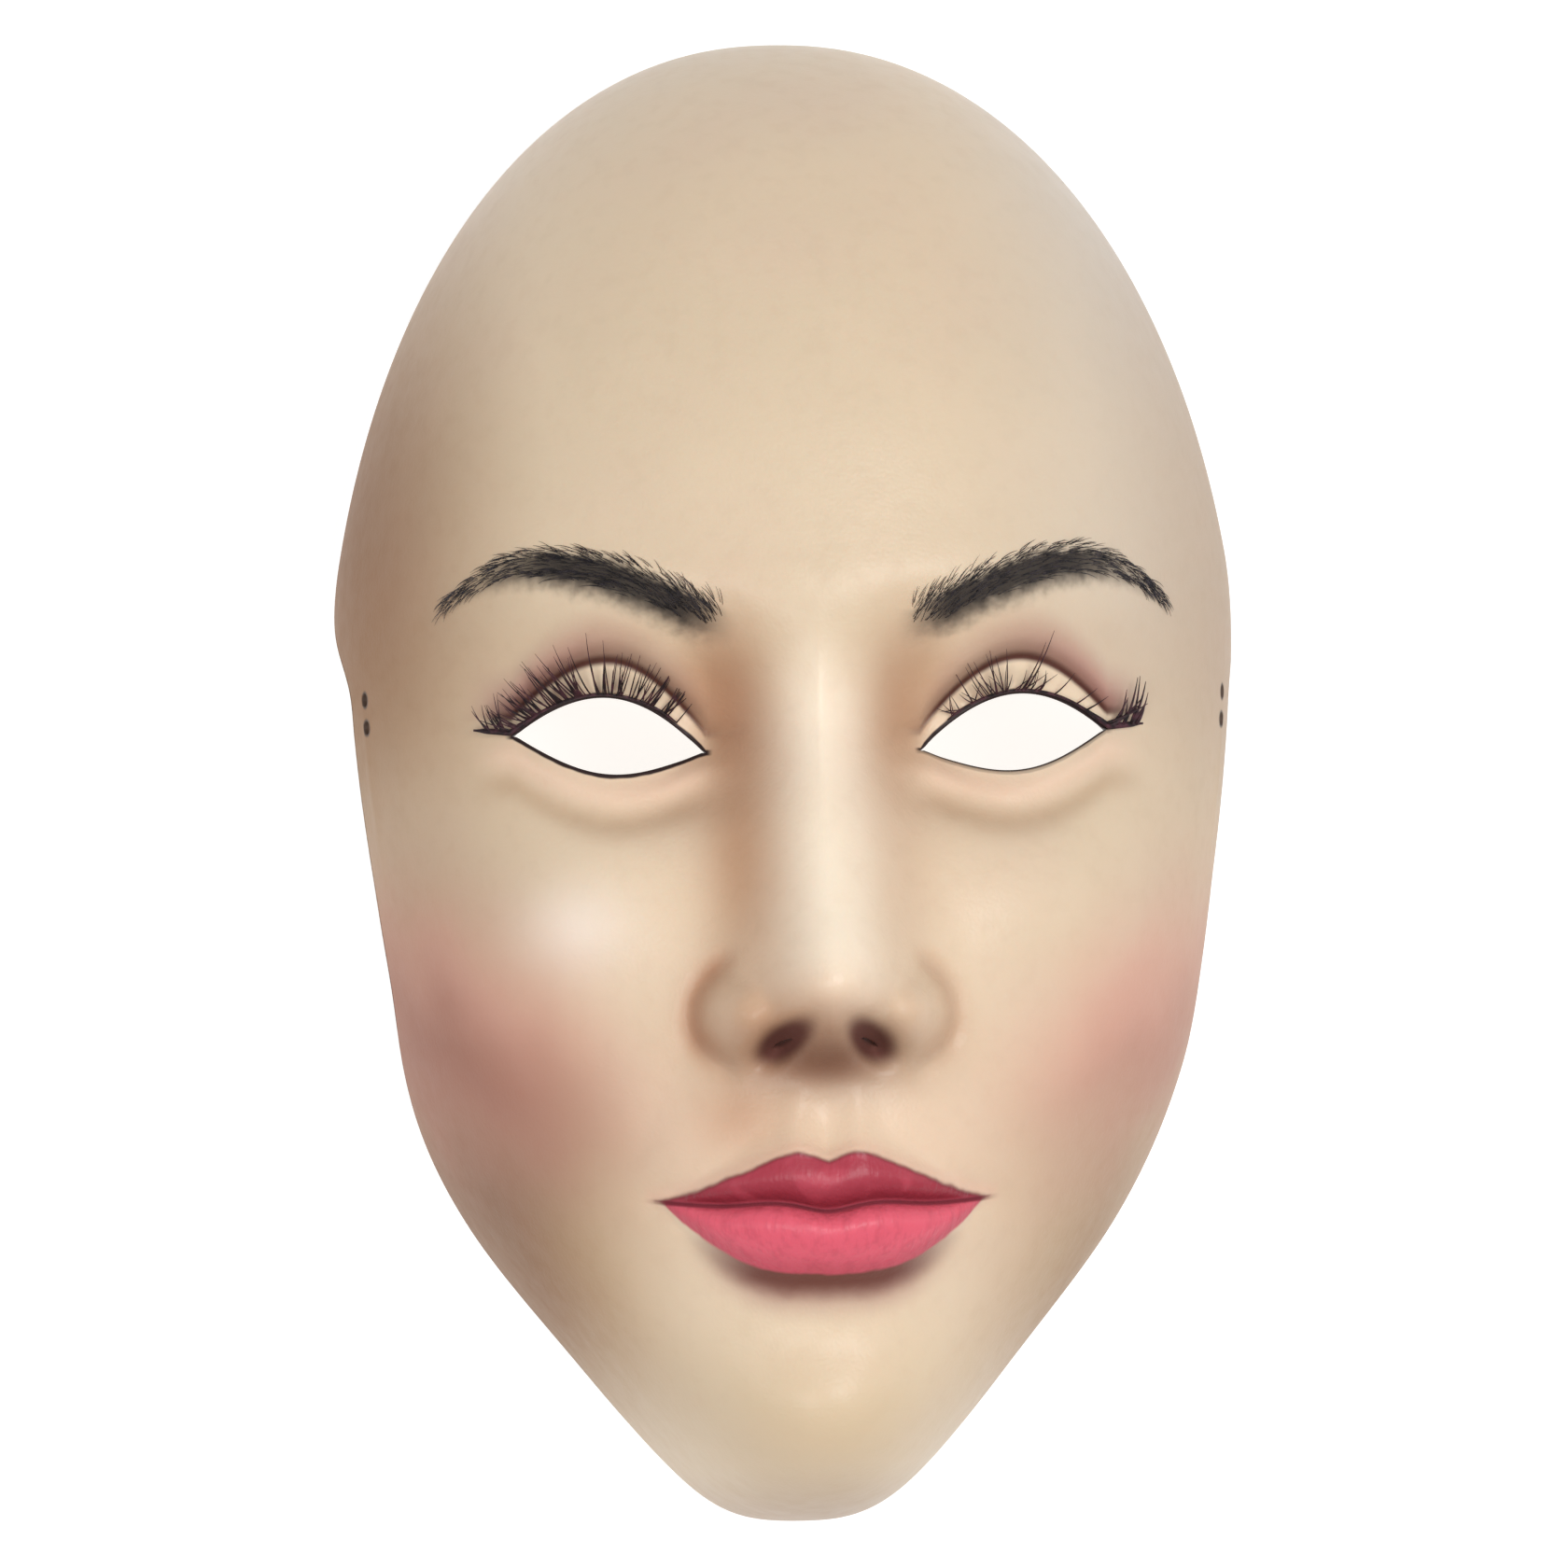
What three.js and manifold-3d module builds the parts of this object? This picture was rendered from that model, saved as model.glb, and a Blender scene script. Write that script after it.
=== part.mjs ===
// Face mask of moulded rubber, lying face up on its own rim, with a strip of false lashes on each upper lid.
// Millimetres. x runs to the right as the face is looked at, y to the crown, z up out of the face; the rim
// stands on z = 0 and the origin is the middle of that outline. The shell is symmetric about x = 0.
import * as THREE from 'three';
import Module from 'manifold-3d';
import { mergeVertices } from 'three/addons/utils/BufferGeometryUtils.js';

// overall sizes; the ear notches take the widest part of the dome away and leave the mask 145 across
const maskHeight = 240;
const domeWidth = 149;
const domeDepth = 84;
const wallThickness = 2.2;
const lidThinning = { amount: 0.9, x: 31, wide: 21, tall: 12 };

// face canon: eyes at half the height, one eye's width between them, nose and mouth by thirds below the brow
const eyeLevel = 0;
const browLevel = 22;
const noseLevel = -47;
const mouthLevel = -71.6;
const chinLevel = -106;
const eyeInnerX = 16.5;
const eyeOuterX = 46;
const mouthHalfWidth = 25;

// eye openings, nostril holes, ear notches and strap holes
const eyeOpening = { innerY: -1.8, outerY: 1.8, up: 7.2, down: 5.2 };
const eyeball = { x: 31.5, y: 0.4, radius: 14.6, front: 69.5 };
const nostrilHole = { x: 6.6, halfWidth: 1.5, y: -47.3, up: 0.6, down: 0.6, tilt: -0.35 };
const underNose = { y: -48, tall: 5, wide: 13, lean: 1.45 };
const earNotch = { lift: 17, from: -34, fullFrom: -14, fullTo: 4, to: 16 };
const strapHole = { radius: 1.1, ys: [6.2, 10.6], z: 32, reach: 12, sides: 12 };

// false lashes: the strip's tail runs past the outer corner of the eye
const lashStrip = {
  startX: 21, tail: 4.8, above: 0.5, width: 1.1, thickness: 0.4, gap: 0.8, tipThickness: 0.12, lift: 0.18,
};
const lashPose = { out: 0.8, rise: 0.62, lean: 1.0, bandOut: 0.9, bandBack: 0.4 };
const lashFringe = { left: { count: 24, length: 9 }, right: { count: 15, length: 7.5 } };

// shares of the half width and of the depth, at heights y along the face
const outlineAt = [-120, -112, -97, -72, -48, -15, 12, 35, 120];
const outlineShare = [0.42, 0.46, 0.565, 0.76, 0.87, 0.935, 0.975, 1, 1];
const profileAt = [-120, -114, -104, -90, -72, -48, -20, 0, 25, 60, 95, 120];
const profileShare = [1.36, 1.32, 1.21, 1.07, 1, 0.985, 0.965, 0.965, 1.015, 1.065, 1.06, 1];
const planPower = 2.25;

// nose ridge: rise above the face and half width along y, and the wings beside the tip
const ridgeAt = [-56, -52.5, -50, -47.5, -45, -42, -38.5, -34, -27, -17, -7, 4, 14, 28];
const ridgeRise = [0, 1.2, 4.6, 10.6, 16.4, 20.6, 22.2, 20.6, 16.2, 10.8, 6.8, 3.6, 1.4, 0];
const ridgeHalf = [7, 7, 7.4, 8.4, 9.8, 11, 11.4, 11.2, 10.6, 10, 9.8, 10.4, 12, 14];
const noseWing = { x: 11.4, y: -42.6, wide: 6.6, tall: 6.6, rise: 11.6, blend: 1.7, groove: 1.3 };
const nostrilHollow = { x: 6.6, long: 4.8, short: 2.7, turn: THREE.MathUtils.degToRad(-30), depth: 5.4 };

// broad forms of the face: bells that rise or sink on both sides, x being the distance from the middle
const broadForms = [
  { name: 'inner socket', rise: -10.5, x: 18, wide: 12, y: eyeLevel + 0.5, tall: 14 },
  { name: 'outer socket', rise: -6.5, x: 34, wide: 15, y: eyeLevel, tall: 15 },
  { name: 'brow bone', rise: 2.4, x: 27, wide: 20, y: browLevel, tall: 9 },
  { name: 'between the brows', rise: 1, x: 0, wide: 12, y: browLevel, tall: 12 },
  { name: 'cheekbone', rise: 4.6, x: 40, wide: 17, y: -25, tall: 15 },
  { name: 'cheek hollow', rise: -1.6, x: 46, wide: 14, y: -62, tall: 17 },
  { name: 'temple', rise: -2, x: 62, wide: 14, y: 28, tall: 22 },
  { name: 'arch of the teeth', rise: 4.5, x: 0, wide: 27, y: -68, tall: 20 },
  { name: 'chin', rise: 3.6, x: 0, wide: 18, y: chinLevel, tall: 12 },
  { name: 'under the lip', rise: -2.1, x: 0, wide: 21, y: -91, tall: 8 },
];

// lids: fold over the crease, crease, and the roll with its hollow below the eye
const lidFold = { gap: 3, arch: 2.2, rise: 1.4, offset: 3.8, tall: 3.6 };
const lidCrease = { depth: 1.8, tall: 1.2, reach: 4.5 };
const lowerRoll = { rise: 0.9, offset: -2.6, tall: 2, hollowOffset: -7.5, hollowTall: 2.8 };

// groove from nose to lip, and the fold from the wing of the nose past the mouth
const lipGroove = { depth: 0.55, wide: 2.9, edge: 0.5, edgeWide: 2.3, spread: 3, flare: 1.5 };
const cheekFold = { depth: 0.5, x: 18.5, y: -44, slope: -0.52, wide: 3.5 };

// lips: upper and lower outline, at distances from the middle
const upperLipAt = [0, 4.4, 9, 15, 21, 25, 30];
const upperLipY = [-65, -63.6, -64.9, -67.3, -69.3, -70.2, -70.6];
const lowerLipAt = [0, 7, 13, 18, 22, 25, 30];
const lowerLipY = [-82, -81.6, -79.8, -76.8, -73.3, -70.4, -69.8];
const lipForm = { upper: 4.3, lower: 5.2, rim: 0.35, rimTall: 0.8 };
const mouthCurve = { curl: 1.3, dip: 0.8, dipWide: 4, bow: 0.5, bowX: 8.5, bowWide: 5 };
const parting = { depth: 4.6, tall: 1.5, reach: 8 };
const lipCorner = { depth: 1.2, wide: 4.2, tall: 3 };

const skinColour = 0xdec9ad;
const skinRoughness = 0.5;
const lashColour = 0x1c1516;
const lashRoughness = 0.6;

const halfWidth = domeWidth / 2;
const halfHeight = maskHeight / 2;

// profile curves of the surface

function easeStep(low, high, t) {
  const s = THREE.MathUtils.clamp((t - low) / (high - low), 0, 1);
  return s * s * s * (s * (6 * s - 15) + 10);
}

function bell(t, centre, spread) {
  return Math.exp(-(((t - centre) / spread) ** 2));
}

function bellOver(side, y, form) {
  return form.rise * bell(side, form.x, form.wide) * bell(y, form.y, form.tall);
}

// smooth curve through stations, level where the values turn back
function stations(t, at, values) {
  const last = at.length - 1;
  const place = THREE.MathUtils.clamp(t, at[0], at[last]);
  let i = 0;
  while (i < last - 1 && at[i + 1] < place) i += 1;
  const chord = (k) => (values[k + 1] - values[k]) / (at[k + 1] - at[k]);
  const slope = (k) => {
    if (k === 0) return chord(0);
    if (k === last) return chord(last - 1);
    return chord(k - 1) * chord(k) <= 0 ? 0 : (chord(k - 1) + chord(k)) / 2;
  };
  const h = at[i + 1] - at[i];
  const s = (place - at[i]) / h;
  const rest = 1 - s;
  return values[i] * (1 + 2 * s) * rest * rest + values[i + 1] * s * s * (3 - 2 * s)
    + h * slope(i) * s * rest * rest - h * slope(i + 1) * s * s * rest;
}

function smoothMax(a, b, blend) {
  const share = THREE.MathUtils.clamp(0.5 + (0.5 * (a - b)) / blend, 0, 1);
  return b + (a - b) * share + blend * share * (1 - share);
}

// squareness of the outline, rounder at the crown than at the jaw
function outlinePower(y) {
  return 2.12 + 0.85 * easeStep(30, -70, y);
}

// the egg-shaped dome that the features are raised on
function domeHeight(x, y) {
  const m = outlinePower(y);
  const across = Math.abs(x) / (halfWidth * stations(y, outlineAt, outlineShare));
  const along = Math.min(Math.abs(y) / halfHeight, 1);
  const inside = Math.max((1 - along ** m) ** (planPower / m) - across ** planPower, 0);
  return domeDepth * stations(y, profileAt, profileShare) * inside ** (1 / planPower);
}

function lidShare(x) {
  return THREE.MathUtils.clamp((Math.abs(x) - eyeInnerX) / (eyeOuterX - eyeInnerX), 0, 1);
}

function lidChord(x) {
  return eyeOpening.innerY + (eyeOpening.outerY - eyeOpening.innerY) * easeStep(-0.2, 1.2, lidShare(x));
}

function upperLidY(x) {
  return lidChord(x) + eyeOpening.up * Math.max(Math.sin(Math.PI * lidShare(x) ** 0.9), 0) ** 0.9;
}

function lowerLidY(x) {
  return lidChord(x) - eyeOpening.down * Math.max(Math.sin(Math.PI * lidShare(x) ** 1.15), 0);
}

function mouthY(x) {
  const side = Math.abs(x);
  const curl = mouthCurve.curl * (Math.min(side, 34) / mouthHalfWidth) ** 3 * easeStep(40, 26, side);
  return mouthLevel - mouthCurve.dip * bell(side, 0, mouthCurve.dipWide)
    + mouthCurve.bow * bell(side, mouthCurve.bowX, mouthCurve.bowWide) + curl;
}

function noseRise(side, y) {
  const half = stations(y, ridgeAt, ridgeHalf);
  const across = 0.88 * Math.exp(-((side / half) ** 2.2)) + 0.12 * bell(side, 0, 18);
  const ridge = stations(y, ridgeAt, ridgeRise) * across;
  const fromWing = Math.hypot((side - noseWing.x) / noseWing.wide, (y - noseWing.y) / noseWing.tall);
  const wing = noseWing.rise * Math.exp(-(fromWing ** 2.6));
  const high = Math.max(ridge, wing);
  const low = Math.min(ridge, wing);
  const melt = noseWing.blend * Math.log(1 + Math.exp((low - high) / noseWing.blend));
  const groove = noseWing.groove * bell(fromWing, 1.3, 0.25) * easeStep(12, 16, side);
  return high + melt - noseWing.blend * Math.log(2) * Math.exp(-high / 6) - groove;
}

function nostrilDepth(side, y) {
  const dx = side - nostrilHollow.x;
  const dy = y - noseLevel;
  const long = (dx * Math.cos(nostrilHollow.turn) + dy * Math.sin(nostrilHollow.turn)) / nostrilHollow.long;
  const short = (dy * Math.cos(nostrilHollow.turn) - dx * Math.sin(nostrilHollow.turn)) / nostrilHollow.short;
  return nostrilHollow.depth * Math.exp(-((long * long + short * short) ** 1.35));
}

function eyeRelief(side, y, z) {
  const dx = side - eyeball.x;
  const away = Math.hypot(dx, y - eyeball.y);
  const ball = eyeball.front - eyeball.radius + Math.sqrt(Math.max(eyeball.radius ** 2 - away ** 2, 0))
    - 0.9 * Math.max(away - eyeball.radius, 0) - 0.12 * dx;
  const covered = z > 30 ? smoothMax(z, ball, 3) : z;
  const along = easeStep(9, 18, side) * easeStep(54, 43, side);
  const fromCrease = y - upperLidY(side) - lidFold.gap - lidFold.arch * Math.sin(Math.PI * lidShare(side));
  const fold = lidFold.rise * bell(fromCrease, lidFold.offset, lidFold.tall);
  const offCrease = Math.abs(fromCrease);
  const crease = lidCrease.depth * Math.exp(-offCrease / lidCrease.tall)
    * easeStep(lidCrease.reach, 0, offCrease);
  const fromLower = y - lowerLidY(side);
  const hollow = bell(fromLower, lowerRoll.hollowOffset, lowerRoll.hollowTall) * easeStep(52, 36, side);
  const roll = lowerRoll.rise * (bell(fromLower, lowerRoll.offset, lowerRoll.tall) - hollow);
  return covered + along * (fold - crease + roll);
}

function lipRelief(side, y, above) {
  const line = mouthY(side);
  const top = stations(side, upperLipAt, upperLipY);
  const base = stations(side, lowerLipAt, lowerLipY);
  const fade = Math.max(1 - (side / (mouthHalfWidth + 0.5)) ** 2.6, 0) ** 0.9;
  const upper = lipForm.upper * fade * easeStep(2, 0.15, (y - line) / Math.max(top - line, 0.9));
  const lower = lipForm.lower * fade * easeStep(1.55, 0.22, (line - y) / Math.max(line - base, 0.9));
  const rim = lipForm.rim * fade * bell(y, top + 0.3, lipForm.rimTall);
  const away = Math.abs(y - line);
  const parted = parting.depth * easeStep(mouthHalfWidth + 1.5, mouthHalfWidth - 10, side)
    * Math.exp(-away / parting.tall) * easeStep(parting.reach, 0, away);
  const corner = lipCorner.depth * bell(side, mouthHalfWidth - 0.5, lipCorner.wide)
    * bell(y, mouthY(mouthHalfWidth), lipCorner.tall);
  return (above ? upper : lower) + rim - parted - corner;
}

// outer surface of the mask over a point of the plan
function faceHeight(x, y, above = y > mouthY(x)) {
  const side = Math.abs(x);
  const dome = domeHeight(x, y);
  const raised = easeStep(10, 45, dome);
  const broad = broadForms.reduce((sum, form) => sum + bellOver(side, y, form), 0);
  const skull = dome + raised * broad;

  const spread = lipGroove.spread + lipGroove.flare * easeStep(-50, -64, y);
  const grooveEdge = lipGroove.edge * bell(side, spread + 1, lipGroove.edgeWide);
  const grooveFloor = lipGroove.depth * bell(side, 0, lipGroove.wide);
  const groove = easeStep(-67.5, -61, y) * easeStep(-48, -60, y) * (grooveEdge - grooveFloor);
  const foldX = cheekFold.x + cheekFold.slope * (y - cheekFold.y);
  const fold = cheekFold.depth * bell(side, foldX, cheekFold.wide)
    * easeStep(-72, -60, y) * easeStep(-40, -47, y);
  return eyeRelief(side, y, skull) + raised * (noseRise(side, y) - fold)
    - nostrilDepth(side, y) + groove + lipRelief(side, y, above);
}

// plan grid: a square of rows and columns wrapped over the dome, its border lying along the rim

function planPlace(a, b) {
  const dx = a * Math.sqrt(1 - (b * b) / 2);
  const dy = b * Math.sqrt(1 - (a * a) / 2);
  const rho = Math.hypot(dx, dy);
  const angle = THREE.MathUtils.radToDeg(Math.atan2(dy, Math.abs(dx) + 1e-9));
  const notch = easeStep(earNotch.from, earNotch.fullFrom, angle)
    * easeStep(earNotch.to, earNotch.fullTo, angle);
  const reach = Math.PI / 2 - THREE.MathUtils.degToRad(earNotch.lift) * notch * Math.min(rho, 1) ** 4;
  const turn = rho > 1e-9 ? Math.sin(rho * reach) / rho : reach;
  const hx = dx * turn;
  const hy = dy * turn;
  const hz = Math.cos(rho * reach);
  let y = hy * halfHeight;
  let stretch = 1;
  for (let pass = 0; pass < 6; pass += 1) {
    const m = outlinePower(y);
    const level = (Math.abs(hx) ** planPower + Math.abs(hz) ** planPower) ** (m / planPower);
    stretch = (level + Math.abs(hy) ** m) ** (-1 / m);
    y = halfHeight * hy * stretch;
  }
  return [halfWidth * stations(y, outlineAt, outlineShare) * hx * stretch, y];
}

// grid share at which a plan coordinate is reached, by halving the interval
function shareWhere(coordinate, target, low, high) {
  let [from, to] = [low, high];
  for (let pass = 0; pass < 50; pass += 1) {
    const middle = (from + to) / 2;
    if (coordinate(middle) < target) from = middle;
    else to = middle;
  }
  return (from + to) / 2;
}

const rowShare = (y) => shareWhere((b) => planPlace(0, b)[1], y, -1, 1);
const columnShare = (x, b) => shareWhere((a) => planPlace(a, b)[0], x, 0, 1);

// bands of [from, to, cells] become one rising list of shares
function spaced(bands) {
  const list = bands.flatMap(([from, to, cells]) => (
    Array.from({ length: cells }, (unused, k) => from + ((to - from) * k) / cells)));
  return [...list, bands.at(-1)[1]];
}

// the rows are drawn up and down so that one runs along the mouth, one along each lid and one round each
// nostril hole; side is 1 for the copy of such a row above its slit and -1 for the copy below
function falloff(distance, reach) {
  return easeStep(1, 0, Math.abs(distance) / reach);
}

function warpedY(x, rowY, keyY, side) {
  const across = Math.abs(x);
  let y = rowY + (mouthY(x) - keyY.mouth) * easeStep(46, 26, across) * falloff(rowY - keyY.mouth, 16);

  const u = THREE.MathUtils.clamp((across - nostrilHole.x) / nostrilHole.halfWidth, -1, 1);
  const nearNose = easeStep(16, 9, across) * easeStep(1, 3.5, across);
  const holeY = nostrilHole.y + nostrilHole.tilt * u * nostrilHole.halfWidth;
  const fromNose = y - keyY.nose;
  const openUp = Math.abs(fromNose) < 1e-6 ? side > 0 : fromNose > 0;
  const open = Math.sqrt(1 - u * u) * (openUp ? nostrilHole.up : -nostrilHole.down);
  y += ((holeY - keyY.nose) * nearNose + open) * falloff(fromNose, 6);

  const nearEye = easeStep(62, 47, across) * easeStep(5, 15, across);
  const fromEye = y - keyY.eye;
  const lidUp = Math.abs(fromEye) < 1e-6 ? side > 0 : fromEye > 0;
  const lidY = lidUp ? upperLidY(x) : lowerLidY(x);
  return y + (lidY - keyY.eye) * nearEye * falloff(fromEye, lidUp ? 24 : 22);
}

function outerPoint(x, y, above) {
  return new THREE.Vector3(x, y, faceHeight(x, y, above));
}

// direction across the wall: upright in the middle of the face, turning to that of the plain dome and level
// at the rim; under the nose it leans to the chin, square to the steep skin there
function wallDirection(point) {
  const fromMiddle = Math.hypot(point.x / halfWidth, point.y / halfHeight);
  const turn = easeStep(0.5, 0.9, fromMiddle);
  const up = point.z / (domeDepth * 1.1) ** 2;
  const lean = underNose.lean * bell(point.y, underNose.y, underNose.tall) * bell(point.x, 0, underNose.wide);
  const across = (turn * point.x) / halfWidth ** 2;
  const along = (turn * point.y) / halfHeight ** 2 - lean * up;
  return new THREE.Vector3(across, along, up).normalize();
}

// outward normal of the face, from its slope
function faceNormal(x, y) {
  const step = 0.4;
  const slopeX = (faceHeight(x + step, y) - faceHeight(x - step, y)) / (2 * step);
  const slopeY = (faceHeight(x, y + step) - faceHeight(x, y - step)) / (2 * step);
  return new THREE.Vector3(-slopeX, -slopeY, 1).normalize();
}

function shellSurface() {
  const mouthRow = rowShare(mouthLevel);
  const noseRow = rowShare(nostrilHole.y);
  const inner = columnShare(eyeInnerX, 0);
  const outer = columnShare(eyeOuterX, 0);
  const holeIn = columnShare(nostrilHole.x - nostrilHole.halfWidth, noseRow);
  const holeOut = columnShare(nostrilHole.x + nostrilHole.halfWidth, noseRow);
  const half = [[0, holeIn, 2], [holeIn, holeOut, 3], [holeOut, inner, 3], [inner, outer, 8], [outer, 1, 5]];
  const mirrored = half.map(([from, to, cells]) => [-to, -from, cells]).reverse();
  const columns = spaced([...mirrored, ...half]);
  const rows = spaced([
    [-1, rowShare(-90), 6], [rowShare(-90), mouthRow, 5], [mouthRow, rowShare(-62), 4],
    [rowShare(-62), noseRow, 4], [noseRow, rowShare(-38), 3], [rowShare(-38), rowShare(-12), 5],
    [rowShare(-12), 0, 3], [0, rowShare(16), 6], [rowShare(16), rowShare(34), 4], [rowShare(34), 1, 9],
  ]);
  const indexOf = (list, share) => list.findIndex((value) => Math.abs(value - share) < 1e-9);
  const keyRow = { eye: indexOf(rows, 0), mouth: indexOf(rows, mouthRow), nose: indexOf(rows, noseRow) };

  const points = [];
  const place = (row, column, side) => {
    const [x, y] = planPlace(columns[column], rows[row]);
    const keyY = {
      eye: planPlace(columns[column], rows[keyRow.eye])[1],
      mouth: planPlace(columns[column], rows[keyRow.mouth])[1],
      nose: planPlace(columns[column], rows[keyRow.nose])[1],
    };
    const onRim = row === 0 || row === rows.length - 1 || column === 0 || column === columns.length - 1;
    const point = onRim ? new THREE.Vector3(x, y, domeHeight(x, y))
      : outerPoint(x, warpedY(x, y, keyY, side), row >= keyRow.mouth);
    if (point.z < 0.02) point.z = 0;
    points.push(point);
    return points.length - 1;
  };
  const up = rows.map((unusedShare, row) => columns.map((unusedColumn, column) => place(row, column, 1)));

  const slits = [[keyRow.eye, inner, outer], [keyRow.nose, holeIn, holeOut]]
    .flatMap(([row, from, to]) => [[row, from, to], [row, -to, -from]])
    .map(([row, from, to]) => ({ row, from: indexOf(columns, from), to: indexOf(columns, to) }));
  const down = up.map((line) => [...line]);
  for (const { row, from, to } of slits) {
    for (let column = from + 1; column < to; column += 1) down[row][column] = place(row, column, -1);
  }
  return { points, up, down, slits };
}

// the inside follows the outside at the wall's thickness, thinner round the eyes
function innerPoint(point) {
  const outward = wallDirection(point);
  const lean = point.z > 4 ? faceNormal(point.x, point.y).dot(outward) : 1;
  const dx = (Math.abs(point.x) - lidThinning.x) / lidThinning.wide;
  const fromEye = Math.hypot(dx, point.y / lidThinning.tall);
  const thickness = wallThickness - lidThinning.amount * bell(fromEye, 0, 1);
  return point.clone().addScaledVector(outward, -thickness * Math.min(1 / Math.max(lean, 0.1), 1.5));
}

function shellSolid() {
  const { points, up, down, slits } = shellSurface();
  const count = points.length;
  const positions = [...points, ...points.map(innerPoint)].flatMap((p) => [p.x, p.y, p.z]);
  const faces = [];
  const quad = (a, b, c, d) => faces.push(a, b, c, a, c, d);
  const lastRow = up.length - 1;
  const lastColumn = up[0].length - 1;
  for (let row = 0; row < lastRow; row += 1) {
    for (let column = 0; column < lastColumn; column += 1) {
      const [a, b] = [up[row][column], up[row][column + 1]];
      const [c, d] = [down[row + 1][column + 1], down[row + 1][column]];
      quad(a, b, c, d);
      quad(a + count, d + count, c + count, b + count);
    }
  }
  // an edge loop runs with the surface on its left, and the wall joins it to its copy on the inside
  const wall = (loop) => loop.forEach((a, k) => {
    const b = loop[(k + 1) % loop.length];
    quad(b, a, a + count, b + count);
  });
  wall([
    ...up[0].slice(0, lastColumn), ...up.slice(0, lastRow).map((line) => line[lastColumn]),
    ...up[lastRow].slice(1).reverse(), ...up.slice(1).map((line) => line[0]).reverse(),
  ]);
  for (const { row, from, to } of slits) {
    wall([...up[row].slice(from, to).reverse(), ...down[row].slice(from + 1, to + 1)].reverse());
  }
  const geometry = new THREE.BufferGeometry();
  geometry.setAttribute('position', new THREE.Float32BufferAttribute(positions, 3));
  geometry.setIndex(faces);
  return geometry;
}

// cuts with closed meshes

const wasm = await Module();
wasm.setup();

function toSolid(geometry) {
  const bare = geometry.clone();
  bare.deleteAttribute('normal');
  bare.deleteAttribute('uv');
  const merged = mergeVertices(bare);
  return new wasm.Manifold(new wasm.Mesh({
    numProp: 3,
    vertProperties: new Float32Array(merged.attributes.position.array),
    triVerts: new Uint32Array(merged.index.array),
  }));
}

function toGeometry(solid) {
  const mesh = solid.getMesh();
  const geometry = new THREE.BufferGeometry();
  geometry.setAttribute('position', new THREE.BufferAttribute(mesh.vertProperties, 3));
  geometry.setIndex(new THREE.BufferAttribute(mesh.triVerts, 1));
  return geometry;
}

// a strap hole goes straight through the side wall, square to the dome
function strapDrill(side, y) {
  const { radius, reach, sides, z } = strapHole;
  const x = side * halfWidth * shareWhere((share) => -faceHeight(share * halfWidth, y), -z, 0, 0.95);
  const centre = outerPoint(x, y);
  const drill = new THREE.CylinderGeometry(radius, radius, reach, sides);
  const drillAxis = new THREE.Vector3(0, 1, 0);
  drill.applyQuaternion(new THREE.Quaternion().setFromUnitVectors(drillAxis, faceNormal(x, y)));
  return toSolid(drill.translate(centre.x, centre.y, centre.z));
}

function drilledShell() {
  let solid = toSolid(shellSolid());
  for (const side of [-1, 1]) {
    for (const y of strapHole.ys) solid = solid.subtract(strapDrill(side, y));
  }
  return toGeometry(solid);
}

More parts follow.
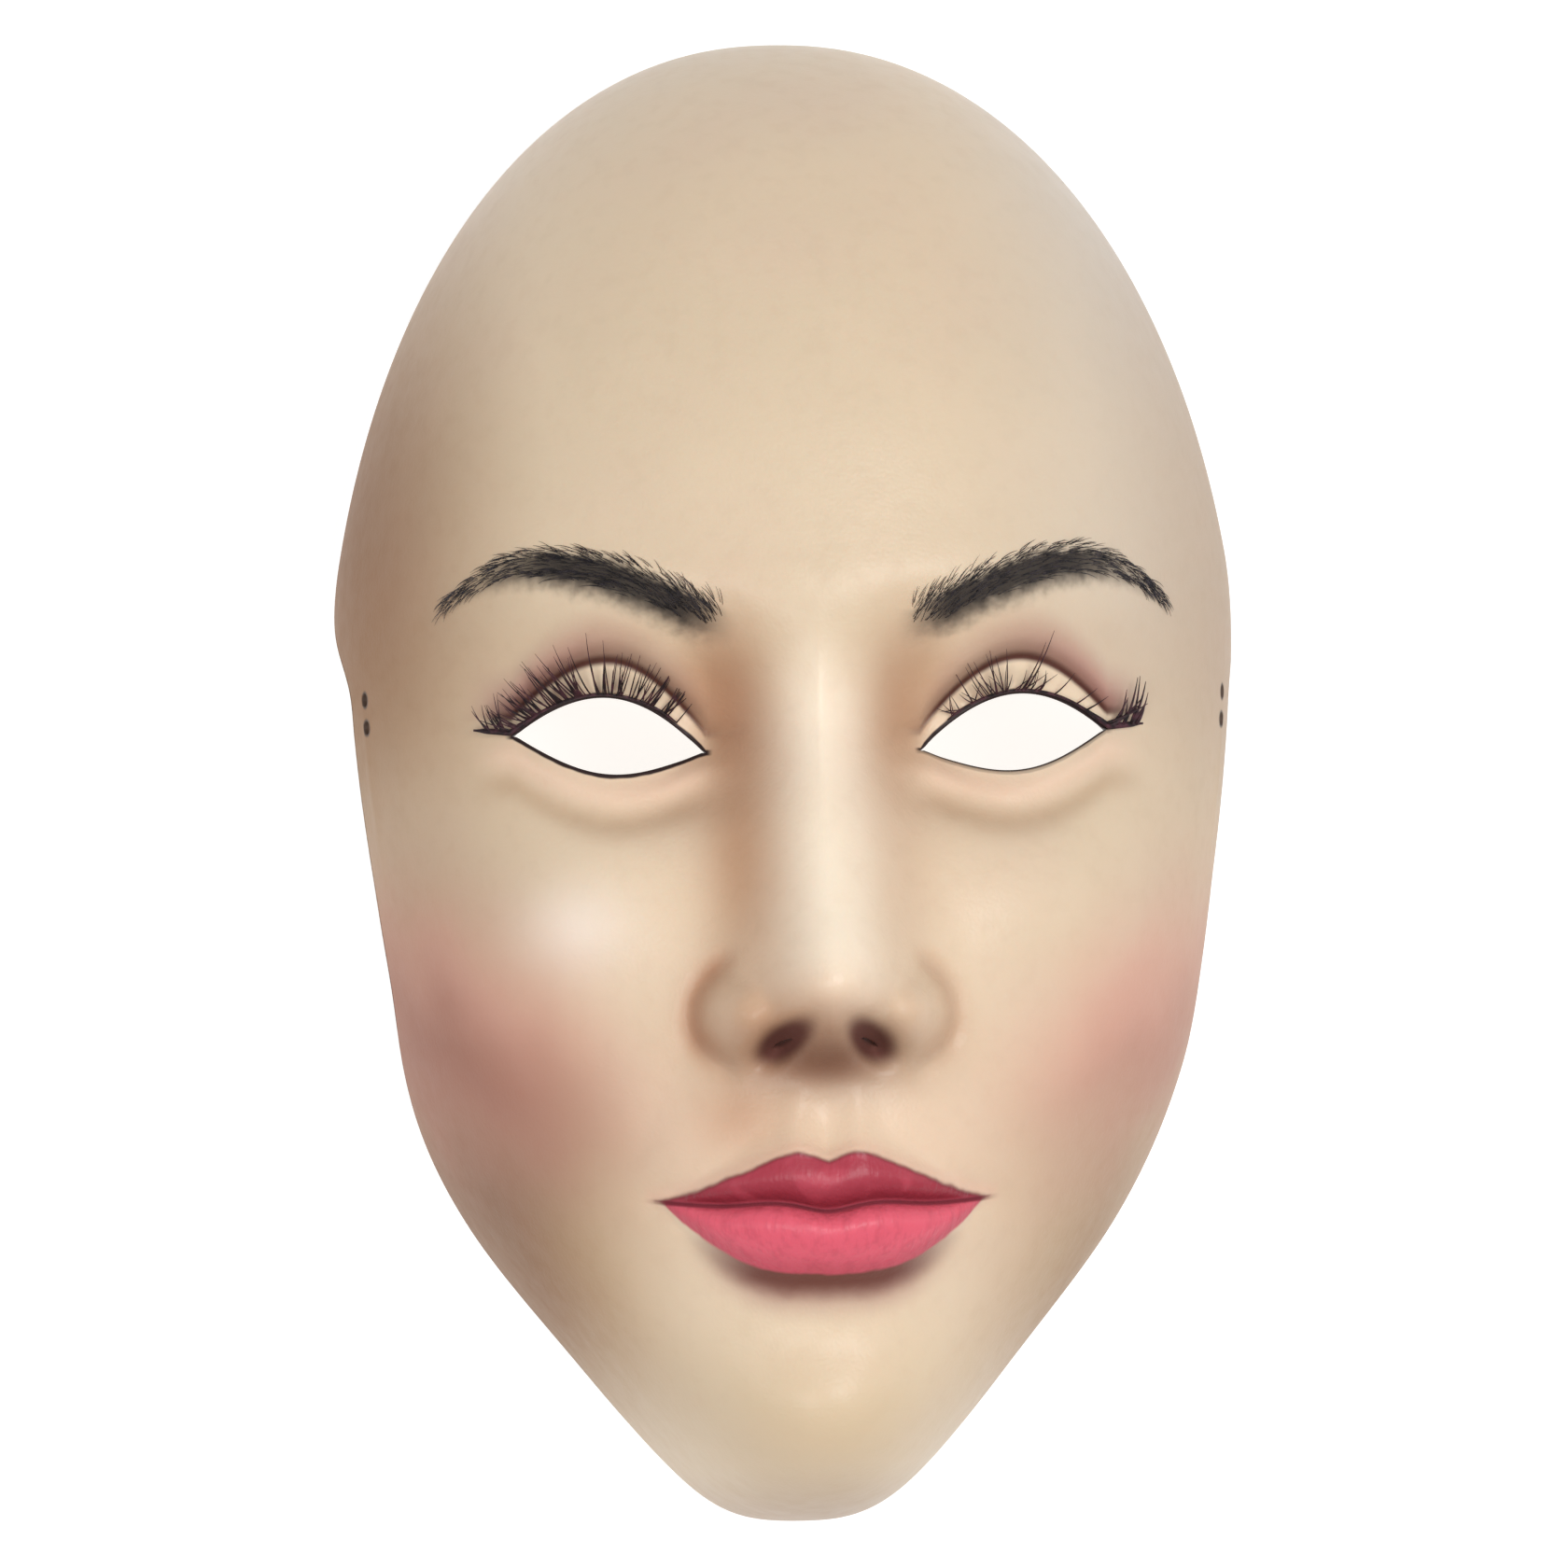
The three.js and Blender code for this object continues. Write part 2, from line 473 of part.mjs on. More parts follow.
// a lash strip: a flat band along the upper lid with a comb of pointed tufts that stand out and up from it
function lashSolid(side, { count, length }) {
  const endX = eyeOuterX + lashStrip.tail;
  const roots = Array.from({ length: count + 1 }, (unused, k) => {
    const x = lashStrip.startX + ((endX - lashStrip.startX) * k) / count;
    const past = Math.max(x - eyeOuterX, 0);
    const y = upperLidY(x) + lashStrip.above + lashStrip.lift * past;
    const out = faceNormal(x, y);
    const base = outerPoint(x, y).addScaledVector(out, lashStrip.gap + lashStrip.lift * past);
    return { base, out };
  });
  const frames = roots.map(({ base, out }, k) => {
    const before = roots[Math.max(k - 1, 0)].base;
    const after = roots[Math.min(k + 1, count)].base;
    const along = after.clone().sub(before).normalize();
    const rise = out.clone().cross(along).normalize();
    return { base, along, rise, out: along.clone().cross(rise) };
  });
  const rows = { low: [], high: [], tip: [] };
  const pair = (list, point, across, thickness) => {
    list.push([point, point.clone().addScaledVector(across, thickness)]);
  };
  for (const { base, rise, out } of frames) {
    pair(rows.low, base, out, lashStrip.thickness);
    const bandTop = base.clone().addScaledVector(rise, lashStrip.width);
    const tilt = out.clone().multiplyScalar(lashPose.bandOut).addScaledVector(rise, -lashPose.bandBack);
    pair(rows.high, bandTop, tilt.normalize(), lashStrip.thickness);
  }
  for (let k = 0; k < count; k += 1) {
    const share = (k + 0.5) / count;
    const { along, rise, out } = frames[k];
    const middle = rows.high[k][0].clone().lerp(rows.high[k + 1][0], 0.5);
    const reach = length * (0.5 + 0.5 * Math.sin(Math.PI * Math.min(0.08 + 0.92 * share ** 0.8, 1)));
    const direction = out.clone().multiplyScalar(lashPose.out).addScaledVector(rise, lashPose.rise)
      .addScaledVector(along, lashPose.lean * share);
    const tilt = out.clone().multiplyScalar(lashPose.rise).addScaledVector(rise, -lashPose.out).normalize();
    pair(rows.tip, middle.addScaledVector(direction.normalize(), reach), tilt, lashStrip.tipThickness);
  }

  const positions = [];
  const number = (list) => list.map((ends) => ends.map((point) => {
    positions.push(side * point.x, point.y, point.z);
    return positions.length / 3 - 1;
  }));
  const [low, high, tip] = [number(rows.low), number(rows.high), number(rows.tip)];
  const faces = [];
  const triangle = (a, b, c) => faces.push(...(side > 0 ? [a, b, c] : [a, c, b]));
  const quad = (a, b, c, d) => {
    triangle(a, b, c);
    triangle(a, c, d);
  };
  for (let k = 0; k < count; k += 1) {
    quad(low[k][1], low[k + 1][1], high[k + 1][1], high[k][1]);
    quad(low[k][0], high[k][0], high[k + 1][0], low[k + 1][0]);
    quad(low[k][0], low[k + 1][0], low[k + 1][1], low[k][1]);
    triangle(high[k][1], high[k + 1][1], tip[k][1]);
    triangle(high[k][0], tip[k][0], high[k + 1][0]);
    quad(high[k][0], high[k][1], tip[k][1], tip[k][0]);
    quad(high[k + 1][1], high[k + 1][0], tip[k][0], tip[k][1]);
  }
  quad(low[0][0], low[0][1], high[0][1], high[0][0]);
  quad(low[count][1], low[count][0], high[count][0], high[count][1]);
  const geometry = new THREE.BufferGeometry();
  geometry.setAttribute('position', new THREE.Float32BufferAttribute(positions, 3));
  geometry.setIndex(faces);
  return geometry;
}

const mask = new THREE.Group();

function addPiece(name, geometry, color, roughness) {
  geometry.computeVertexNormals();
  const mesh = new THREE.Mesh(geometry, new THREE.MeshStandardMaterial({ color, roughness, metalness: 0 }));
  mesh.name = name;
  mask.add(mesh);
}

addPiece('mask_shell', drilledShell(), skinColour, skinRoughness);
addPiece('lash_strip_left', lashSolid(-1, lashFringe.left), lashColour, lashRoughness);
addPiece('lash_strip_right', lashSolid(1, lashFringe.right), lashColour, lashRoughness);

export default mask;
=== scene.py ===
import math

import bpy
import numpy as np
from mathutils import Matrix, Vector


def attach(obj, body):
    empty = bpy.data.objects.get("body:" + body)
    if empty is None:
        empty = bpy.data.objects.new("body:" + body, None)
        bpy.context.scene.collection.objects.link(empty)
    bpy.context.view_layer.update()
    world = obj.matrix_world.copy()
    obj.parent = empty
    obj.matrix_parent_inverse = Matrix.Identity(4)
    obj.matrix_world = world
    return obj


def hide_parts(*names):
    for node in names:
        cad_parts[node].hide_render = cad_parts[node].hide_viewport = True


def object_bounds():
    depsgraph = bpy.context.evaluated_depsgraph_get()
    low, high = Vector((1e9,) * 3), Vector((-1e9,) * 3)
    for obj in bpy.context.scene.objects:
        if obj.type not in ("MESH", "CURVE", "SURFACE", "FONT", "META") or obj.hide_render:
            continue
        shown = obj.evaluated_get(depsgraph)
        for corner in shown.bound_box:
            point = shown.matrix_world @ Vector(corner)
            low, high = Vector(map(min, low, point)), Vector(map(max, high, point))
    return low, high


# A latex face mask lying face up. Everything is worked out in millimetres and put into the mesh in metres:
# x to the right as the face is looked at, y to the crown, z up out of the face, the rim standing on z = 0.
# The two sides are alike, so most forms go by side, the distance from the middle. A pair of places says where
# a form has faded to nothing and where it is full, in that order.
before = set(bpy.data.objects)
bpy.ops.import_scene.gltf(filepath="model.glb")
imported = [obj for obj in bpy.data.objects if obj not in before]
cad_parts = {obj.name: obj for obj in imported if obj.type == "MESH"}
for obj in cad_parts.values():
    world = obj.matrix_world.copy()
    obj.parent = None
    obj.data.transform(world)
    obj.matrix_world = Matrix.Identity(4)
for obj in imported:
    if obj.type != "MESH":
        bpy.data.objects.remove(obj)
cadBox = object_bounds()
mm = 0.001
tiny = 1e-9
maskSize = (np.array(cadBox[1]) - np.array(cadBox[0])) / mm
print("frame loaded, mask", maskSize.round(1), "mm")


# curves

def easeStep(low, high, t):  # 0 at low, 1 at high, level at both ends: 10 s^3 - 15 s^4 + 6 s^5
    s = np.clip((t - low) / (high - low), 0.0, 1.0)
    return s * s * s * (s * (6 * s - 15) + 10)


def between(t, low, high):  # easing up at the low places and down at the high ones
    return easeStep(*low, t) * easeStep(*high, t)


def bell(t, centre, spread):  # e to minus the square of the distance from the centre in spreads
    return np.exp(-((t - centre) / spread) ** 2)


def pressed(away, depth, tall, reach):  # a crease: e to minus the distance, eased out at its reach
    return depth * np.exp(-away / tall) * easeStep(reach, 0, away)


def swell(t, rise, centre, spread):  # a bell of a given rise
    return rise * bell(t, centre, spread)


def mound(side, y, rise, atSide, wide, atY, tall):  # a rise, times a bell across and a bell along the face
    return rise * bell(side, atSide, wide) * bell(y, atY, tall)


def stations(t, at, values):  # a cubic from each station to the next, level where the values turn back
    at, values = np.array(at, float), np.array(values, float)
    chord = np.diff(values) / np.diff(at)
    slope = np.concatenate([[chord[0]], (chord[:-1] + chord[1:]) / 2, [chord[-1]]])
    turns = np.concatenate([[False], chord[:-1] * chord[1:] <= 0, [False]])
    slope = np.where(turns, 0.0, slope)
    t = np.clip(t, at[0], at[-1])
    i = np.clip(np.searchsorted(at, t) - 1, 0, len(at) - 2)
    h = at[i + 1] - at[i]
    s = (t - at[i]) / h
    level = values[i] * (1 + 2 * s) * (1 - s) ** 2 + values[i + 1] * s * s * (3 - 2 * s)
    return level + h * slope[i] * s * (1 - s) ** 2 - h * slope[i + 1] * s * s * (1 - s)


def smoothMax(a, b, blend):  # the larger of a and b, with the corner between them filled over the blend
    share = np.clip(0.5 + 0.5 * (a - b) / blend, 0.0, 1.0)
    return b + (a - b) * share + blend * share * (1 - share)


def unit(v):
    return v / np.maximum(np.linalg.norm(v, axis=-1, keepdims=True), 1e-12)


# the face: an egg-shaped dome with each feature raised on it or pressed into it

dome = {
    "halfWidth": maskSize[0] / 2 * 149 / 145,  # the ear notches take the widest part away
    "halfHeight": maskSize[1] / 2,
    "depth": 84.0,
    "power": 2.25,
    "crownPower": 2.12,
    "jawPower": 2.97,
    "crownToJaw": (30, -70),
    "outlineAt": [-120, -112, -97, -72, -48, -15, 12, 35, 120],
    "outlineShare": [0.42, 0.46, 0.565, 0.76, 0.87, 0.935, 0.975, 1.0, 1.0],
    "profileAt": [-120, -114, -104, -90, -72, -48, -20, 0, 25, 60, 95, 120],
    "profileShare": [1.36, 1.32, 1.21, 1.07, 1.0, 0.985, 0.965, 0.965, 1.015, 1.065, 1.06, 1.0],
}


def outlinePower(y):  # rounder at the crown than at the jaw
    return dome["crownPower"] + (dome["jawPower"] - dome["crownPower"]) * easeStep(*dome["crownToJaw"], y)


def halfWidthAt(y):
    return dome["halfWidth"] * stations(y, dome["outlineAt"], dome["outlineShare"])


def domeHeight(x, y):  # the depth along the profile, times the pth root of (1 - along^m)^(p/m) - across^p
    m, p = outlinePower(y), dome["power"]
    across = np.abs(x) / halfWidthAt(y)
    along = np.minimum(np.abs(y) / dome["halfHeight"], 1.0)
    inside = np.clip((1 - along ** m) ** (p / m) - across ** p, 0.0, None)
    return dome["depth"] * stations(y, dome["profileAt"], dome["profileShare"]) * inside ** (1 / p)


eye = {
    "inner": 16.5,
    "outer": 46.0,
    "innerY": -1.8,
    "outerY": 1.8,
    "up": 7.2,
    "down": 5.2,
    "chordEase": (-0.2, 1.2),
    "upperSkew": 0.9,
    "lowerSkew": 1.15,
    "ballSide": 31.5,
    "ballY": 0.4,
    "ballRadius": 14.6,
    "ballFront": 69.5,
    "ballFall": 0.9,
    "ballTilt": 0.12,
    "ballBlend": 3.0,
    "lowest": 30.0,  # no ball where the face is lower than this
    "creaseGap": 3.0,
    "creaseArch": 2.2,
    "crease": (1.8, 1.2, 4.5),  # depth, width, reach
    "fold": (1.4, 3.8, 3.6),  # rise, place off the crease, spread
    "roll": (0.9, -2.6, 2.0),
    "hollow": (0.9, -7.5, 2.8),
    "hollowEnd": (52, 36),
    "innerEnd": (9, 18),
    "outerEnd": (54, 43),
}


def lidShare(x):  # 0 at the inner corner of the eye, 1 at the outer one
    return np.clip((np.abs(x) - eye["inner"]) / (eye["outer"] - eye["inner"]), 0, 1)


def lidChord(x):  # from corner to corner
    return eye["innerY"] + (eye["outerY"] - eye["innerY"]) * easeStep(*eye["chordEase"], lidShare(x))


def upperLid(x):  # the chord plus the arch of a sine, fullest a little to the inner side
    skew = eye["upperSkew"]
    return lidChord(x) + eye["up"] * np.clip(np.sin(np.pi * lidShare(x) ** skew), 0, 1) ** skew


def lowerLid(x):  # the chord less the arch of a sine, fullest a little to the outer side
    return lidChord(x) - eye["down"] * np.clip(np.sin(np.pi * lidShare(x) ** eye["lowerSkew"]), 0, 1)


def lidCrease(x):  # the upper lid plus a gap, which a sine widens in the middle
    return upperLid(x) + eye["creaseGap"] + eye["creaseArch"] * np.sin(np.pi * lidShare(x))


def eyeRelief(side, y, z):  # a ball behind the lids, and on them a crease, a fold above it and a roll below
    across = side - eye["ballSide"]
    away = np.hypot(across, y - eye["ballY"])
    radius = eye["ballRadius"]
    ball = eye["ballFront"] - radius + np.sqrt(np.clip(radius ** 2 - away ** 2, 0, None))
    ball = ball - eye["ballFall"] * np.clip(away - radius, 0, None) - eye["ballTilt"] * across
    covered = np.where(z > eye["lowest"], smoothMax(z, ball, eye["ballBlend"]), z)
    off, below = y - lidCrease(side), y - lowerLid(side)
    fold = swell(off, *eye["fold"]) - pressed(np.abs(off), *eye["crease"])
    roll = swell(below, *eye["roll"]) - swell(below, *eye["hollow"]) * easeStep(*eye["hollowEnd"], side)
    return covered + between(side, eye["innerEnd"], eye["outerEnd"]) * (fold + roll)


nose = {
    "level": -47.0,
    "at": [-56, -52.5, -50, -47.5, -45, -42, -38.5, -34, -27, -17, -7, 4, 14, 28],
    "rise": [0.0, 1.2, 4.6, 10.6, 16.4, 20.6, 22.2, 20.6, 16.2, 10.8, 6.8, 3.6, 1.4, 0.0],
    "half": [7.0, 7.0, 7.4, 8.4, 9.8, 11.0, 11.4, 11.2, 10.6, 10.0, 9.8, 10.4, 12.0, 14.0],
    "power": 2.2,
    "footShare": 0.12,
    "footHalf": 18,
    "wingSide": 11.4,
    "wingY": -42.6,
    "wingReach": 6.6,
    "wingRise": 11.6,
    "wingPower": 2.6,
    "melt": 1.7,
    "meltFrom": 6.0,
    "groove": (1.3, 1.3, 0.25),  # depth, then place and spread in reaches of the wing
    "grooveEnd": (12, 16),
}
nostril = {
    "side": 6.6,
    "long": 4.8,
    "short": 2.7,
    "power": 1.35,
    "turn": math.radians(-30),
    "depth": 5.4,
    "holeHalf": 1.5,
    "holeY": -47.3,
    "holeUp": 0.6,
    "tilt": -0.35,
}


def noseRise(side, y):  # a ridge with a wide foot, melted into a rounded wing that has a groove behind it
    across = np.exp(-(side / stations(y, nose["at"], nose["half"])) ** nose["power"])
    across = (1 - nose["footShare"]) * across + nose["footShare"] * bell(side, 0, nose["footHalf"])
    ridge = stations(y, nose["at"], nose["rise"]) * across
    fromWing = np.hypot(side - nose["wingSide"], y - nose["wingY"]) / nose["wingReach"]
    wing = nose["wingRise"] * np.exp(-fromWing ** nose["wingPower"])
    high, low = np.maximum(ridge, wing), np.minimum(ridge, wing)
    fill = np.log(1 + np.exp((low - high) / nose["melt"])) - np.log(2) * np.exp(-high / nose["meltFrom"])
    return high + nose["melt"] * fill - swell(fromWing, *nose["groove"]) * easeStep(*nose["grooveEnd"], side)


def nostrilShare(side, y):  # 1 in the middle of a turned ellipse, falling off with a power of the distance
    dx, dy = side - nostril["side"], y - nose["level"]
    c, s = math.cos(nostril["turn"]), math.sin(nostril["turn"])
    reach = ((dx * c + dy * s) / nostril["long"]) ** 2 + ((dy * c - dx * s) / nostril["short"]) ** 2
    return np.exp(-reach ** nostril["power"])


mouth = {
    "level": -71.6,
    "half": 25.0,
    "topAt": [0, 4.4, 9, 15, 21, 25, 30],
    "topY": [-65.0, -63.6, -64.9, -67.3, -69.3, -70.2, -70.6],
    "baseAt": [0, 7, 13, 18, 22, 25, 30],
    "baseY": [-82.0, -81.6, -79.8, -76.8, -73.3, -70.4, -69.8],
    "curl": 1.3,
    "curlLast": 34,
    "curlEnd": (40, 26),
    "dip": (-0.8, 0, 4),  # rise, side, spread
    "bow": (0.5, 8.5, 5),
    "lipRise": (4.3, 5.2),
    "lipReach": ((2.0, 0.15), (1.55, 0.22)),  # upper, lower
    "leastHeight": 0.9,
    "border": (0.35, 0.3, 0.8),
    "parting": (4.6, 1.5, 8),  # depth, width, reach
    "partingEnd": (26.5, 15),
    "corner": (1.2, 24.5, 4.2),
    "cornerTall": 3,
    "fadePast": 0.5,
    "fadePowers": (2.6, 0.9),
}


def mouthLine(x):  # level, with a dip in the middle, a bow on both sides and a curl that grows as a cube
    side = np.abs(x)
    curl = mouth["curl"] * (np.minimum(side, mouth["curlLast"]) / mouth["half"]) ** 3
    bent = swell(side, *mouth["dip"]) + swell(side, *mouth["bow"])
    return mouth["level"] + bent + curl * easeStep(*mouth["curlEnd"], side)


def lipTop(x):
    return stations(np.abs(x), mouth["topAt"], mouth["topY"])


def lipBase(x):
    return stations(np.abs(x), mouth["baseAt"], mouth["baseY"])


def lipRelief(side, y, above):  # each lip eases up from its outline to the parting, which is pressed in
    line, top, base = mouthLine(side), lipTop(side), lipBase(side)
    first, second = mouth["fadePowers"]
    fade = np.clip(1 - (side / (mouth["half"] + mouth["fadePast"])) ** first, 0, 1) ** second
    shares = ((y - line) / np.maximum(top - line, mouth["leastHeight"]),
              (line - y) / np.maximum(line - base, mouth["leastHeight"]))
    upper, lower = (rise * easeStep(*reach, share)
                    for rise, reach, share in zip(mouth["lipRise"], mouth["lipReach"], shares))
    lips = np.where(above, upper, lower) + swell(y - top, *mouth["border"])
    parting = easeStep(*mouth["partingEnd"], side) * pressed(np.abs(y - line), *mouth["parting"])
    corner = swell(side, *mouth["corner"]) * bell(y, mouthLine(mouth["half"]), mouth["cornerTall"])
    return fade * lips - parting - corner


broadForms = {  # rise, then side and width, then y and height
    "innerSocket": (-10.5, 18, 12, 0.5, 14),
    "outerSocket": (-6.5, 34, 15, 0, 15),
    "browBone": (2.4, 27, 20, 22, 9),
    "betweenBrows": (1.0, 0, 12, 22, 12),
    "cheekbone": (4.6, 40, 17, -25, 15),
    "cheekHollow": (-1.6, 46, 14, -62, 17),
    "temple": (-2.0, 62, 14, 28, 22),
    "toothArch": (4.5, 0, 27, -68, 20),
    "chin": (3.6, 0, 18, -106, 12),
    "underLip": (-2.1, 0, 21, -91, 8),
}
formsFrom = (10, 45)  # heights of the dome between which the forms come in
lipGroove = {
    "middle": (-0.55, 0, 2.9),
    "edge": 0.5,
    "edgeSpread": 2.3,
    "side": 4.0,
    "flare": 1.5,
    "flareTo": (-50, -64),
    "low": (-67.5, -61),
    "high": (-48, -60),
}
cheekFold = {
    "depth": 0.5,
    "side": 18.5,
    "y": -44,
    "slope": -0.52,
    "spread": 3.5,
    "low": (-72, -60),
    "high": (-40, -47),
}


def faceHeight(x, y, above):  # the dome plus its broad forms, eyes, nose, nostrils, groove, folds and lips
    side = np.abs(x)
    base = domeHeight(x, y)
    raised = easeStep(*formsFrom, base)
    skull = base + raised * sum(mound(side, y, *form) for form in broadForms.values())

    edgeSide = lipGroove["side"] + lipGroove["flare"] * easeStep(*lipGroove["flareTo"], y)
    groove = swell(side, lipGroove["edge"], edgeSide, lipGroove["edgeSpread"])
    groove = (groove + swell(side, *lipGroove["middle"])) * between(y, lipGroove["low"], lipGroove["high"])
    foldSide = cheekFold["side"] + cheekFold["slope"] * (y - cheekFold["y"])
    fold = swell(side, cheekFold["depth"], foldSide, cheekFold["spread"])
    fold = fold * between(y, cheekFold["low"], cheekFold["high"])
    z = eyeRelief(side, y, skull) + raised * (noseRise(side, y) - fold)
    return z - nostril["depth"] * nostrilShare(side, y) + groove + lipRelief(side, y, above)


def skinPoint(x, y):
    return np.stack([x, y, faceHeight(x, y, y > mouthLine(x))], -1)


def skinNormal(x, y, step=0.4):  # square to the slopes across and along the face
    above = y > mouthLine(x)
    dx = faceHeight(x + step, y, above) - faceHeight(x - step, y, above)
    dy = faceHeight(x, y + step, above) - faceHeight(x, y - step, above)
    return unit(np.stack([-dx, -dy, 2 * step + 0 * dx], -1))


# the shell's grid: a square of rows and columns wrapped over the dome, its border lying along the rim

rim = {
    "notchLift": 17.0,  # degrees that the rim is cut back in front of the ears
    "notchLow": (-34, -14),
    "notchHigh": (16, 4),
}
grid = {
    "rowsAt": [-90, mouth["level"], -62, nostril["holeY"], -38, -12, 0, 16, 34],
    "rowCells": [36, 34, 18, 26, 18, 28, 22, 30, 20, 50],
    "columnCells": [10, 10, 14, 50, 42],  # middle to nostril hole, over it, to the eye, over it, to the rim
}
drawn = {  # where the rows are drawn on to the mouth, nostril holes and lids
    "mouth": {"outer": (46, 26), "reach": 16.0},
    "nose": {"inner": (1.0, 3.5), "outer": (16, 9), "reach": 6.0},
    "eye": {"inner": (5, 15), "outer": (62, 47), "above": 24.0, "below": 22.0},
}


def planPlace(a, b):  # square to disc, disc to the upper half of a sphere, sphere to the dome's plan
    dx, dy = a * np.sqrt(1 - b * b / 2), b * np.sqrt(1 - a * a / 2)
    rho = np.hypot(dx, dy)
    angle = np.degrees(np.arctan2(dy, np.abs(dx) + tiny))
    notch = between(angle, rim["notchLow"], rim["notchHigh"])
    reach = np.pi / 2 - math.radians(rim["notchLift"]) * notch * np.clip(rho, 0, 1) ** 4
    turn = np.where(rho > tiny, np.sin(rho * reach) / np.maximum(rho, tiny), reach)
    hx, hy, hz = dx * turn, dy * turn, np.cos(rho * reach)
    p = dome["power"]
    y = hy * dome["halfHeight"]
    for _ in range(6):  # the squareness goes by y, so both are found by repeating
        m = outlinePower(y)
        stretch = ((np.abs(hx) ** p + np.abs(hz) ** p) ** (m / p) + np.abs(hy) ** m) ** (-1 / m)
        y = dome["halfHeight"] * hy * stretch
    return halfWidthAt(y) * hx * stretch, y


def rowShare(y):  # where in the square a height along the middle line is reached
    b = np.linspace(-1, 1, 1601)
    return float(np.interp(y, planPlace(0 * b, b)[1], b))


def columnShare(x, b):
    a = np.linspace(0, 1, 801)
    return float(np.interp(x, planPlace(a, b + 0 * a)[0], a))


def spaced(ends, cells):  # even steps from each end to the next
    parts = [np.linspace(low, high, count, endpoint=False) for low, high, count in zip(ends, ends[1:], cells)]
    return np.append(np.concatenate(parts), ends[-1])


def nearest(values, wanted):
    return int(np.argmin(np.abs(values - wanted)))


def falloff(away, reach):
    return easeStep(1.0, 0.0, np.abs(away) / reach)


def isUp(off, copy):  # above a key row, or on it in the copy over the slit
    return (off > tiny) | ((np.abs(off) <= tiny) & (copy > 0))


def drawnY(x, y, keyRow, copy):  # y plus each key row's way to its line, fading away from the row
    keyY = {name: y[row] for name, row in keyRow.items()}
    across = {name: np.abs(x[row]) for name, row in keyRow.items()}

    side, near = across["mouth"], drawn["mouth"]
    shift = (mouthLine(side) - keyY["mouth"]) * easeStep(*near["outer"], side)
    y = y + shift * falloff(y - keyY["mouth"], near["reach"])

    side, near = across["nose"], drawn["nose"]
    u = np.clip((side - nostril["side"]) / nostril["holeHalf"], -1, 1)
    shift = nostril["holeY"] + nostril["tilt"] * u * nostril["holeHalf"] - keyY["nose"]
    shift = shift * between(side, near["inner"], near["outer"])
    off = y - keyY["nose"]
    opening = np.where(isUp(off, copy), 1, -1) * nostril["holeUp"] * np.sqrt(1 - u * u)
    y = y + (shift + opening) * falloff(off, near["reach"])

    side, near = across["eye"], drawn["eye"]
    share = between(side, near["inner"], near["outer"])
    off = y - keyY["eye"]
    upper = (upperLid(side) - keyY["eye"]) * share * falloff(off, near["above"])
    lower = (lowerLid(side) - keyY["eye"]) * share * falloff(off, near["below"])
    return y + np.where(isUp(off, copy), upper, lower)


def shellGrid():  # plan places, the rows that follow the eyes, mouth and nostrils, and the slits along them
    mouthRow, noseRow = rowShare(mouth["level"]), rowShare(nostril["holeY"])
    inner, outer = columnShare(eye["inner"], 0), columnShare(eye["outer"], 0)
    holeIn = columnShare(nostril["side"] - nostril["holeHalf"], noseRow)
    holeOut = columnShare(nostril["side"] + nostril["holeHalf"], noseRow)
    half = [0, holeIn, holeOut, inner, outer, 1]
    cells = grid["columnCells"]
    columns = spaced([-end for end in half[:0:-1]] + half, cells[::-1] + cells)
    rows = spaced([-1] + [rowShare(y) for y in grid["rowsAt"]] + [1], grid["rowCells"])
    x, y = planPlace(*np.meshgrid(columns, rows))
    keyRow = {"eye": nearest(rows, 0), "mouth": nearest(rows, mouthRow), "nose": nearest(rows, noseRow)}
    slits = []
    for row, low, high in ((keyRow["eye"], inner, outer), (keyRow["nose"], holeIn, holeOut)):
        for start, end in ((low, high), (-high, -low)):
            slits.append((row, nearest(columns, start), nearest(columns, end)))
    return x, y, keyRow, slits


def outerSurface():  # the face over every plan place, with a second point below each slit
    x, y, keyRow, slits = shellGrid()
    rows, columns = x.shape
    above = np.arange(rows)[:, None] + 0 * x >= keyRow["mouth"]
    upY, downY = drawnY(x, y, keyRow, 1), drawnY(x, y, keyRow, -1)
    points = np.stack([x, upY, faceHeight(x, upY, above)], -1).reshape(-1, 3)
    up = np.arange(rows * columns).reshape(rows, columns)
    down = up.copy()
    for row, low, high in slits:
        k = np.arange(low + 1, high)
        down[row, k] = len(points) + np.arange(len(k))
        lowX, lowY = x[row, k], downY[row, k]
        lower = np.stack([lowX, lowY, faceHeight(lowX, lowY, above[row, k])], -1)
        points = np.concatenate([points, lower])
    return points, up, down, slits


def gridQuads(up, down):
    return np.stack([up[:-1, :-1], up[:-1, 1:], down[1:, 1:], down[1:, :-1]], -1).reshape(-1, 4)


def vertexNormals(points, quads):  # the sum of the normals of the faces round each point
    p = points[quads]
    faceNormal = np.cross(p[:, 2] - p[:, 0], p[:, 3] - p[:, 1])
    total = np.zeros_like(points)
    for k in range(4):
        np.add.at(total, quads[:, k], faceNormal)
    return unit(total)


# the wall, with rounded edges at the rim and round the openings

wall = {
    "thickness": 2.2,
    "thinAtEye": (0.9, 31, 21, 0, 12),  # depth, then side and width, then y and height
    "underNose": (1.45, 0, 13, -48, 5),
    "turning": (0.5, 0.9),
    "depth": 1.1 * dome["depth"],
    "leastLean": 0.1,
    "mostStretch": 1.5,
    "rimRadius": 0.7,
    "onFloor": 0.01,
    "gapShare": 0.3,
    "openingRadius": (0.01, 0.30),
    "edgeTurns": [22.5, 45, 67.5, 90],
}


